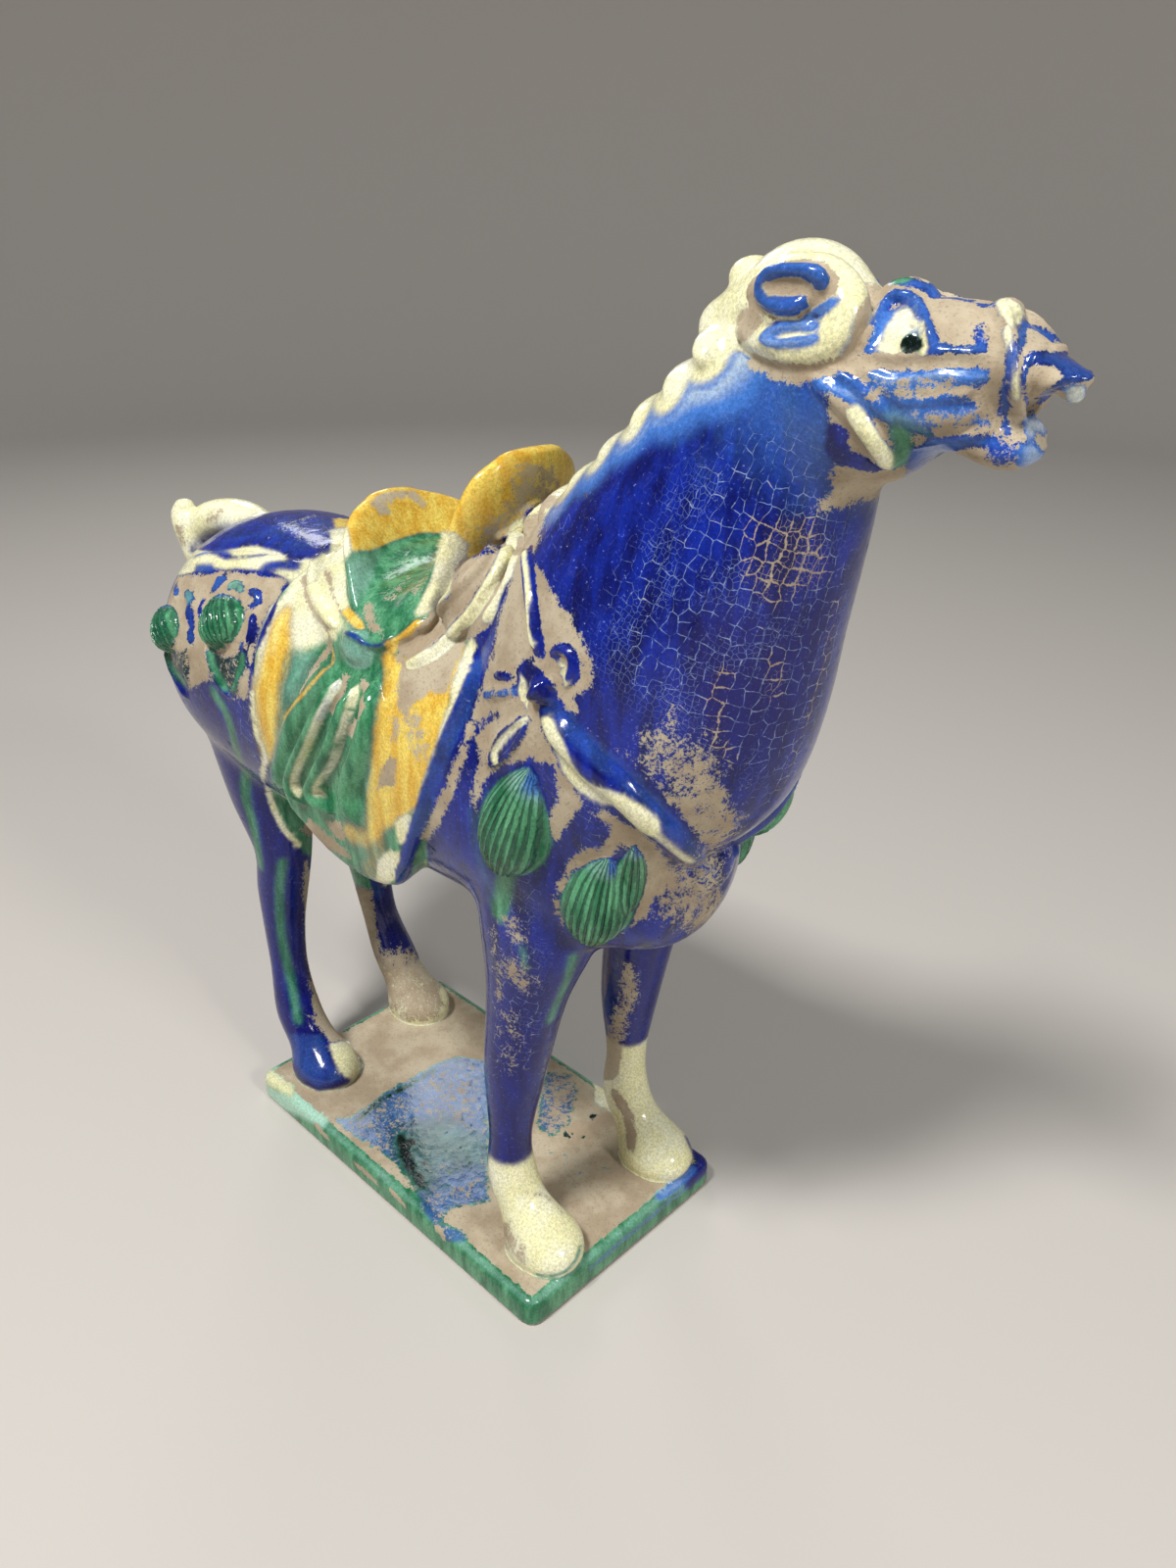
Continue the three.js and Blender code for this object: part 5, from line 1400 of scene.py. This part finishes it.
# %% Brushwork: legs
LEGS_BRUSHWORK = {
    "foreleg flaked": ("bare", 0.55, 3.2, 2.2, [(521, 941), (530, 956)], SEEN),
    "foreleg flaked, low": ("bare", 0.56, 4.2, 2.2, [(524, 988), (533, 1002)], SEEN),
    "foreleg edge flaked": ("bare", 0.5, 2.4, 2.4, [(503, 947), (507, 988), (510, 1023)], SEEN),
    "foreleg streak": ("bare", 0.42, 4, 3, [(509, 1029), (521, 1049), (521, 1088)], SEEN),
    "left foreleg flaked": ("bare", 0.62, 3, 1.6, [(641, 988), (641, 1017), (629, 1052), (626, 1079)], SEEN),
    "left cannon bare": ("bare", 1, FILL, 1, [
        (607, 1058), (629, 1058), (638, 1079), (635, 1102), (609, 1102)], SEEN),
    "toe worn": ("bare", 0.62, FILL, 1.6, [
        (502, 1247), (520, 1244), (532, 1266), (547, 1288), (534, 1296), (520, 1282), (507, 1266)], SEEN),
    "toe worn, top": ("bare", 0.56, 1.2, 1.2, [(532, 1217), (558, 1221), (574, 1239)], SEEN),
    "toe green": ("sea", 0.9, 0.9, 0.8, [(547, 1300), (569, 1301), (586, 1288), (592, 1271)], SEEN),
    "heel worn": ("bare", 0.6, 1.6, 1.2, [(500, 1202), (504, 1223), (502, 1239)], SEEN),
    "left fore cream": ("cream", 1, FILL, 1, [
        (634, 1074), (650, 1071), (654, 1108), (673, 1123), (709, 1167), (703, 1193), (673, 1202),
        (644, 1184), (641, 1146), (606, 1126), (606, 1105), (629, 1104)], SEEN),
    "left fore worn": ("bare", 0.95, 1.8, 0.9, [(628, 1117), (641, 1140), (644, 1170)], SEEN),
    "hind inner bare": ("bare", 1, FILL, 1.4, [
        (312, 880), (322, 907), (322, 968), (333, 1030), (352, 1057), (336, 1057), (320, 1030), (314, 968),
        (310, 912)], SEEN),
    "hind fetlock bare": ("bare", 0.9, FILL, 1.5, [
        (314, 1035), (341, 1038), (357, 1062), (341, 1073), (330, 1054)], SEEN),
    "hind toe cream": ("cream", 1, FILL, 1.2, [
        (336, 1065), (355, 1061), (371, 1089), (360, 1102), (341, 1094)], SEEN),
    "hind hoof blue": ("muzzle", 1, FILL, 1.2, [
        (292, 1054), (328, 1054), (338, 1078), (352, 1102), (325, 1113), (304, 1097)], SEEN),
    "left hind inner bare": ("bare", 1, FILL, 1.6, [
        (357, 904), (379, 909), (387, 968), (384, 987), (368, 982), (363, 947)], SEEN),
    "left hind bare": ("bare", 0.66, FILL, 2, [
        (379, 968), (419, 966), (462, 1014), (448, 1043), (416, 1046), (384, 1019), (376, 993)], SEEN),
    "left hind cream": ("cream", 0.95, 3, 2, [(430, 974), (446, 998), (456, 1017)], SEEN),
}
brush(LEGS_BRUSHWORK)

# %% Brushwork: slab
WASH_SPOTS = [(562, 1177), (577, 1180), (591, 1197), (618, 1192)]
SPECKS = {  # pixel: half-width (mm)
    (397, 1139): 0.7, (408, 1161): 1, (419, 1167): 1.6, (412, 1177): 1.5, (419, 1188): 1.7,
    (434, 1188): 0.8, (497, 1144): 1.2, (359, 1036): 1.4, (372, 1030): 0.8, (580, 1157): 1.6,
    (594, 1160): 0.8, (605, 1140): 1.1,
}
CHIPS = [
    [(364, 1189), (384, 1206)], [(399, 1214), (412, 1230)], [(446, 1252), (452, 1262)],
    [(322, 1148), (334, 1161)],
]
LOW_WASH = [
    (419, 1204), (454, 1212), (497, 1188), (500, 1226), (459, 1234), (448, 1250), (475, 1255), (478, 1266),
    (456, 1268), (432, 1236),
]
SLAB_BRUSHWORK = {
    "wash": ("slate", 1, FILL, 1, [
        (337, 1139), (357, 1141), (364, 1135), (395, 1113), (446, 1085), (467, 1077), (497, 1082),
        (500, 1164), (498, 1188), (475, 1210), (451, 1210), (430, 1218), (416, 1202), (395, 1180),
        (368, 1164), (349, 1151)], SEEN),
    "wash, worn": ("bare", 0.4, FILL, 2.5, [
        (337, 1139), (395, 1113), (446, 1085), (467, 1077), (497, 1082), (500, 1164), (498, 1188),
        (451, 1210), (416, 1202), (368, 1164)], SEEN),
    "low wash": ("slate", 1, FILL, 1.2, LOW_WASH, SEEN),
    "low wash, worn": ("bare", 0.46, FILL, 3, LOW_WASH, SEEN),
    "wash by forelegs": ("slate", 1, FILL, 2, [
        (556, 1093), (582, 1096), (591, 1111), (582, 1146), (562, 1161), (547, 1149)], SEEN),
    "wash by forelegs, worn": ("bare", 0.56, FILL, 2.5, [
        (556, 1090), (585, 1093), (594, 1111), (582, 1152), (562, 1164), (547, 1149)], SEEN),
    **{f"wash spot {at}": ("wash", 0.85, 0.9, 0.8, [at], SEEN) for at in WASH_SPOTS},
    "wash, thick": ("ink", 0.42, FILL, 5, [
        (404, 1152), (455, 1142), (497, 1163), (496, 1187), (455, 1190), (433, 1218), (409, 1202)], SEEN),
    "wash, thick edge": ("ink", 0.8, 1.6, 1.2, [(409, 1163), (417, 1187), (431, 1209)], SEEN),
    "front edge pale": ("lightblue", 0.7, 1, 1.4, [(603, 1294), (634, 1267), (668, 1239), (705, 1209)], SEEN),
    "front edge worn": ("bare", 0.5, 1.4, 1.6, [(591, 1315), (634, 1282), (678, 1247), (710, 1223)], SEEN),
    "far line": ("ink", 1, 0.45, 0.4, [
        (363, 1144), (381, 1129), (397, 1118), (422, 1105), (448, 1088)], SEEN),
    "near line": ("ink", 0.8, 0.3, 0.3, [(426, 1215), (443, 1206)], SEEN),
    "middle line": ("ink", 0.6, 0.25, 0.3, [(459, 1196), (491, 1180)], SEEN),
    **{f"speck {at}": ("ink", 1, size, 0.5, [at], SEEN) for at, size in SPECKS.items()},
    # painted highlight: paler green at the slab's rear corner
    "rear corner highlight": ("thin", 0.9, FILL, 2.5, [
        (261, 1094), (274, 1078), (288, 1092), (314, 1113), (341, 1137), (330, 1151), (288, 1132),
        (261, 1113)], SEEN),
    "rear corner cream": ("cream", 0.7, FILL, 2, [
        (263, 1089), (282, 1092), (304, 1108), (298, 1121), (271, 1108)], SEEN),
    **{f"chip {ends}": ("bare", 1, 1, 0.6, ends, SEEN) for ends in CHIPS},
    "front corner blue": ("blue", 1, FILL, 1.2, [
        (698, 1159), (709, 1157), (728, 1174), (726, 1193), (703, 1214), (695, 1202), (709, 1184)], SEEN),
    "front corner light": ("lightblue", 0.9, 1.5, 1.2, [(706, 1193), (691, 1208), (673, 1220)], SEEN),
    "front edge light": ("thin", 0.8, 1, 1, [(632, 1243), (656, 1225), (676, 1211)], SEEN),
}
brush(SLAB_BRUSHWORK)

# %% Hand the fields to the mesh
tone[:, LIGHT] += 1  # a colour attribute holds nothing below 0
for name, field in (("glaze", glaze), ("tone", tone)):
    attribute = mesh.attributes.new(name, "FLOAT_COLOR", "POINT")
    attribute.data.foreach_set("color", field.astype(np.float32).ravel())
print("bare", round(float((glaze[:, BARE] > 0.5).mean()), 2), "of the skin")

# %% [markdown]
# ## Glaze and clay
# One material holds the whole finish, because on the real figure it is one glaze firing over one clay. It
# mixes four coloured glazes by their shares, darkens and lightens them with their thickness, draws the
# fine crackle as the borders of a Voronoi pattern, and then cuts the ragged flakes. Glaze is smooth and
# glassy. Bare clay is matt and gritty.

# %% Node helpers
def linear(red, green, blue):
    """A colour as a screen shows it, 0 to 255, in the linear light that a shader wants."""
    c = np.array([red, green, blue]) / 255
    return (*np.where(c <= 0.04045, c / 12.92, ((c + 0.055) / 1.055) ** 2.4), 1.0)


def add(kind, inputs=None, **settings):
    """A node of the tree, with its settings, and with its inputs given as sockets or values."""
    made = tree.nodes.new(kind)
    for key, value in settings.items():
        setattr(made, key, value)
    for key, value in (inputs or {}).items():
        if isinstance(value, bpy.types.NodeSocket):
            tree.links.new(value, made.inputs[key])
        else:
            made.inputs[key].default_value = value
    return made


def calc(operation, *values, clamp=False):
    """A Math node's result."""
    return add("ShaderNodeMath", dict(enumerate(values)), operation=operation, use_clamp=clamp).outputs[0]


def step(value, low, high, to_low=0.0, to_high=1.0):
    """Goes smoothly from to_low to to_high as the value goes from low to high."""
    inputs = {"Value": value, "From Min": low, "From Max": high, "To Min": to_low, "To Max": to_high}
    return add("ShaderNodeMapRange", inputs, interpolation_type="SMOOTHSTEP").outputs[0]


def blend(factor, a, b, mode="MIX"):
    """A Mix node for colours."""
    made = add("ShaderNodeMix", data_type="RGBA", blend_type=mode)
    for place, value in ((0, factor), (6, a), (7, b)):
        if isinstance(value, bpy.types.NodeSocket):
            tree.links.new(value, made.inputs[place])
        else:
            made.inputs[place].default_value = value
    return made.outputs[2]


def noise(scale, detail=2.0, rough=0.5, at=None, warp=0.0):
    """A Noise Texture on the object's own coordinates, whose scale counts waves in a metre."""
    inputs = {"Vector": at or place, "Scale": scale, "Detail": detail, "Roughness": rough, "Distortion": warp}
    return add("ShaderNodeTexNoise", inputs)


# %% Glazed clay
material = bpy.data.materials.new("glazed_clay")
material.use_nodes = True
tree = material.node_tree
shader = tree.nodes["Principled BSDF"]
place = add("ShaderNodeTexCoord").outputs["Object"]
glaze_in = add("ShaderNodeAttribute", attribute_name="glaze")
tone_in = add("ShaderNodeAttribute", attribute_name="tone")
shares = add("ShaderNodeSeparateColor", {"Color": glaze_in.outputs["Color"]})
tones = add("ShaderNodeSeparateColor", {"Color": tone_in.outputs["Color"]})
bare_in, violet_in = glaze_in.outputs["Alpha"], tone_in.outputs["Alpha"]
crackle_in, wear_in = tones.outputs[1], tones.outputs[2]

broad = noise(90, 3, 0.6)
middle = noise(420, 3, 0.6)
fine = noise(1500, 3, 0.65)
grain = noise(5200, 2, 0.6)
drawn_down = add("ShaderNodeVectorMath", {0: place, 1: (1, 1, 0.22)}, operation="MULTIPLY").outputs[0]
runs = noise(260, 3, 0.6, at=drawn_down)
broad_fac, middle_fac, fine_fac, grain_fac, runs_fac = [
    made.outputs["Fac"] for made in (broad, middle, fine, grain, runs)]
BORDER = 0.35


def shifted(share, channel):
    """A glaze's weight: its share moved by BORDER times a noise round 0, then to the power 1.9, so that the
    borders between glazes are narrow but wander."""
    wander = calc("SUBTRACT", channel, 0.5)
    return calc("POWER", calc("MAXIMUM", calc("MULTIPLY_ADD", wander, BORDER, share), 0.0), 1.9)


wander = add("ShaderNodeSeparateColor", {"Color": middle.outputs["Color"]})
coloured = calc("ADD", calc("ADD", shares.outputs[0], shares.outputs[1]), shares.outputs[2])
amber_w, green_w, cream_w = [shifted(shares.outputs[k], wander.outputs[k]) for k in range(3)]
blue_w = shifted(calc("SUBTRACT", 1.0, coloured), runs_fac)
total = calc("ADD", calc("ADD", amber_w, green_w), calc("ADD", cream_w, calc("ADD", blue_w, 0.001)))

DEEP_BLUE, BLUE, VIOLET_BLUE = linear(6, 12, 84), linear(14, 38, 146), linear(20, 16, 100)
LIGHT_BLUE, PALE_BLUE = linear(62, 112, 190), linear(196, 212, 214)
AMBER, DARK_AMBER, YELLOW = linear(238, 210, 100), linear(220, 172, 58), linear(238, 228, 156)
GREEN, DEEP_GREEN, PALE_GREEN = linear(92, 160, 116), linear(32, 106, 68), linear(170, 212, 188)
CREAM, WARM_CREAM = linear(238, 236, 206), linear(232, 227, 176)
THICK_GLAZE, POOL_AND_SHADE_GREEN = linear(6, 22, 18), linear(10, 62, 48)
COLD_CRACK, WARM_CRACK, CLAY_CRACK = linear(138, 162, 204), linear(120, 84, 48), linear(176, 156, 126)
FLECK, FLAKE_RIM = linear(150, 168, 200), linear(190, 196, 186)
CLAY, PALE_CLAY, DUSKY_CLAY = linear(168, 150, 124), linear(190, 176, 150), linear(128, 112, 92)
GRIT = linear(96, 82, 70)

light_in = calc("SUBTRACT", tones.outputs[0], 1.0)
light = calc("ADD", light_in, calc("MULTIPLY", calc("SUBTRACT", broad_fac, 0.5), 0.35))
thick = step(light, 0.0, -0.8)
blue_col = blend(step(runs_fac, 0.3, 0.7), DEEP_BLUE, BLUE)
blue_col = blend(calc("MULTIPLY", violet_in, 0.8), blue_col, VIOLET_BLUE)
blue_col = blend(step(light, 0.05, 0.6), blue_col, LIGHT_BLUE)
blue_col = blend(step(light, 0.55, 1.0), blue_col, PALE_BLUE)
green_col = blend(step(runs_fac, 0.32, 0.68), DEEP_GREEN, GREEN)
green_col = blend(step(light, 0.15, 0.8), green_col, PALE_GREEN)
amber_col = blend(step(runs_fac, 0.35, 0.65), DARK_AMBER, AMBER)
amber_col = blend(step(light, 0.1, 0.8), amber_col, YELLOW)
cream_col = blend(step(broad_fac, 0.35, 0.7), WARM_CREAM, CREAM)

colour = blend(calc("DIVIDE", amber_w, total), blue_col, amber_col)
but_cream = calc("ADD", calc("SUBTRACT", total, cream_w), 0.001)
colour = blend(calc("DIVIDE", green_w, but_cream), colour, green_col)
colour = blend(calc("DIVIDE", cream_w, total), colour, cream_col)
colour = blend(thick, colour, THICK_GLAZE)

# Ribs of the tassels: the grooves are a darker green, partly dark glaze gathered there and partly painted
# shade, along the cosine of the count of ribs.
rib_place_in = add("ShaderNodeAttribute", attribute_name="rib_place").outputs["Vector"]
ribs_in = add("ShaderNodeSeparateXYZ", {0: rib_place_in})
on_tassel = calc("MULTIPLY", ribs_in.outputs[2], 10.0, clamp=True)
wave = calc("MULTIPLY_ADD", ribs_in.outputs[0], 10 * np.pi, calc("MULTIPLY", middle_fac, 2.2))
wave = calc("COSINE", wave)
groove = calc("MULTIPLY", step(wave, -0.1, 0.95), on_tassel)
# painted shade and pooled glaze in the grooves between the ribs
colour = blend(calc("MULTIPLY", groove, 0.7), colour, POOL_AND_SHADE_GREEN)
mottle = calc("ADD", calc("MULTIPLY", fine_fac, 0.6), calc("MULTIPLY", grain_fac, 0.4))
mottle = step(mottle, 0.35, 0.65, 0.72, 1.22)
mottle_grey = add("ShaderNodeCombineColor", {0: mottle, 1: mottle, 2: mottle}).outputs[0]
colour = blend(1.0, colour, mottle_grey, "MULTIPLY")

# The crackle: borders of bent cells about 3 mm wide on the tape's coordinates, thick and thin by turns, which
# fade in and out. Where the crackle is above 1, the lines have opened down to the clay.
tape_in = add("ShaderNodeAttribute", attribute_name="crackle_place").outputs["Vector"]
CRACK_BEND = (0.0022, 0.0022, 0.0)
bend_noise = noise(240, 1, 0.5).outputs["Color"]
bend = add("ShaderNodeVectorMath", {0: bend_noise, 1: CRACK_BEND}, operation="MULTIPLY").outputs[0]
bent = add("ShaderNodeVectorMath", {0: tape_in, 1: bend}, operation="ADD").outputs[0]


def cracks(scale, random, half_width, fade):
    """Lines along the borders of flat cells, scale of them in a metre."""
    inputs = {"Vector": bent, "Scale": scale, "Randomness": random}
    cells = add("ShaderNodeTexVoronoi", inputs, feature="DISTANCE_TO_EDGE", voronoi_dimensions="2D")
    return calc("MULTIPLY", step(cells.outputs["Distance"], half_width, 0.01), fade)


opened = step(crackle_in, 1.0, 2.0)
broken = calc("MULTIPLY_ADD", fine_fac, 0.7, calc("MULTIPLY", middle_fac, 0.5))
broken = step(broken, 0.5, 0.72)
thickness = step(fine_fac, 0.35, 0.7, 0.02, 0.06)
thickness = calc("MULTIPLY_ADD", calc("MULTIPLY", opened, broken), 0.085, thickness)
fade = step(calc("MULTIPLY_ADD", crackle_in, 0.13, middle_fac), 0.5, 0.72)
crack = cracks(330, 0.42, thickness, fade)
hair_fade = step(calc("MULTIPLY_ADD", fine_fac, 0.4, broad_fac), 0.66, 0.8, 0.0, 0.55)
crack = calc("MAXIMUM", crack, cracks(760, 0.7, 0.055, hair_fade))
crack = calc("MULTIPLY", crack, crackle_in, clamp=True)
warm = calc("DIVIDE", calc("ADD", amber_w, cream_w), total)
fleck = calc("MULTIPLY", step(fine_fac, 0.66, 0.72), calc("MULTIPLY_ADD", wear_in, 0.9, 0.35))
crack_colour = blend(warm, COLD_CRACK, WARM_CRACK)
crack_colour = blend(step(crackle_in, 1.0, 1.6), crack_colour, CLAY_CRACK)
colour = blend(calc("MULTIPLY", fleck, calc("SUBTRACT", 1.0, warm)), colour, FLECK)
colour = blend(calc("MULTIPLY", crack, 0.8), colour, crack_colour)

# Flakes: the bare field, pushed about by two noises and by the crackle, is cut at one half.
push = calc("MULTIPLY", calc("SUBTRACT", middle_fac, 0.5), 0.9)
push = calc("MULTIPLY_ADD", calc("SUBTRACT", fine_fac, 0.5), 1.1, push)
push = calc("MULTIPLY_ADD", calc("SUBTRACT", grain_fac, 0.5), 0.5, push)
push = calc("MULTIPLY_ADD", crack, 0.3, push)
bare_level = calc("ADD", bare_in, push)
bare = step(bare_level, 0.48, 0.52)
rim = calc("MULTIPLY", step(bare_level, 0.36, 0.48), calc("SUBTRACT", 1.0, bare))
colour = blend(calc("MULTIPLY", rim, 0.25), colour, FLAKE_RIM)

clay = blend(step(broad_fac, 0.35, 0.65), CLAY, PALE_CLAY)
clay = blend(calc("MULTIPLY", step(fine_fac, 0.52, 0.7), 0.5), clay, DUSKY_CLAY)
clay = blend(calc("MULTIPLY", step(grain_fac, 0.6, 0.75), 0.4), clay, GRIT)
colour = blend(bare, colour, clay)
tree.links.new(colour, shader.inputs["Base Color"])

gloss = step(fine_fac, 0.3, 0.7, 0.10, 0.19)
roughness = add("ShaderNodeMix", {0: bare, 2: gloss, 3: 0.88}, data_type="FLOAT").outputs[0]
tree.links.new(roughness, shader.inputs["Roughness"])

height = calc("MULTIPLY", calc("SUBTRACT", 1.0, bare), 0.16)
height = calc("MULTIPLY_ADD", middle_fac, 0.12, height)
height = calc("MULTIPLY_ADD", calc("MULTIPLY", bare, fine_fac), 0.18, height)
height = calc("MULTIPLY_ADD", calc("MULTIPLY", bare, grain_fac), 0.10, height)
height = calc("MULTIPLY_ADD", groove, -0.55, height)
bump = add("ShaderNodeBump", {"Strength": 0.7, "Distance": 0.001, "Height": height})
tree.links.new(bump.outputs["Normal"], shader.inputs["Normal"])
shader.inputs["IOR"].default_value = 1.45
mesh.materials.append(material)
print("material nodes", len(tree.nodes))

# %% [markdown]
# ## Floor and light
# A plain pale floor, a large soft key light from the upper left, a fill from the right and a weaker one
# from behind, as in a small photographic tent.

# %% Floor and light
FLAT, BEND, TOP = 1.4, 0.6, 1.0  # radius of the flat part, radius of the bend and height of the rim (m)
FLOOR_SIDES = 96
FLOOR_COLOUR, SKY_COLOUR, SKY_STRENGTH = linear(200, 194, 186), linear(226, 230, 236), 0.25
bend = np.linspace(0, np.pi / 2, 20)
curve = zip(FLAT + BEND * np.sin(bend), BEND * (1 - np.cos(bend)))
profile = [(0.02, 0), (0.6, 0), *curve, (FLAT + BEND, TOP)]
around = np.linspace(0, 2 * np.pi, FLOOR_SIDES, endpoint=False)
rings = np.array([[(r * np.cos(a), r * np.sin(a), h) for a in around] for r, h in profile])
index = np.arange(len(rings) * FLOOR_SIDES).reshape(-1, FLOOR_SIDES)
beside = np.roll(index, -1, 1)
quads = np.stack([index[:-1], beside[:-1], beside[1:], index[1:]], axis=-1).reshape(-1, 4)[:, ::-1]
floor_mesh = bpy.data.meshes.new("floor")
floor_mesh.from_pydata(rings.reshape(-1, 3).tolist(), [], quads.tolist() + [index[0].tolist()])
floor_mesh.shade_smooth()
floor = bpy.data.objects.new("floor", floor_mesh)
bpy.context.collection.objects.link(floor)
floor_material = bpy.data.materials.new("pale_floor")
floor_material.use_nodes = True
floor_shader = floor_material.node_tree.nodes["Principled BSDF"]
floor_shader.inputs["Base Color"].default_value = FLOOR_COLOUR
floor_shader.inputs["Roughness"].default_value = 0.8
floor.data.materials.append(floor_material)

world = bpy.data.worlds.new("studio")
bpy.context.scene.world = world
world.use_nodes = True
world.node_tree.nodes["Background"].inputs["Color"].default_value = SKY_COLOUR
world.node_tree.nodes["Background"].inputs["Strength"].default_value = SKY_STRENGTH
AIM = Vector((0, 0, 0.15))
# Each light: its place and side length in metres, and its power in watts.
LIGHTS = {
    "key": ((0.05, -0.55, 1.05), 0.2, 12),
    "window": ((0.95, -0.05, 0.65), 0.16, 4),
    "back": ((-0.8, 0.5, 0.8), 0.3, 1.5),
}
for name, (where, size, power) in LIGHTS.items():
    lamp = bpy.data.lights.new(name, "AREA")
    lamp.size, lamp.energy = size, power
    stand = bpy.data.objects.new(name, lamp)
    stand.location = where
    stand.rotation_mode = "QUATERNION"
    stand.rotation_quaternion = (AIM - Vector(where)).to_track_quat("-Z", "Y")
    bpy.context.collection.objects.link(stand)
bpy.context.scene.view_settings.view_transform = "Standard"
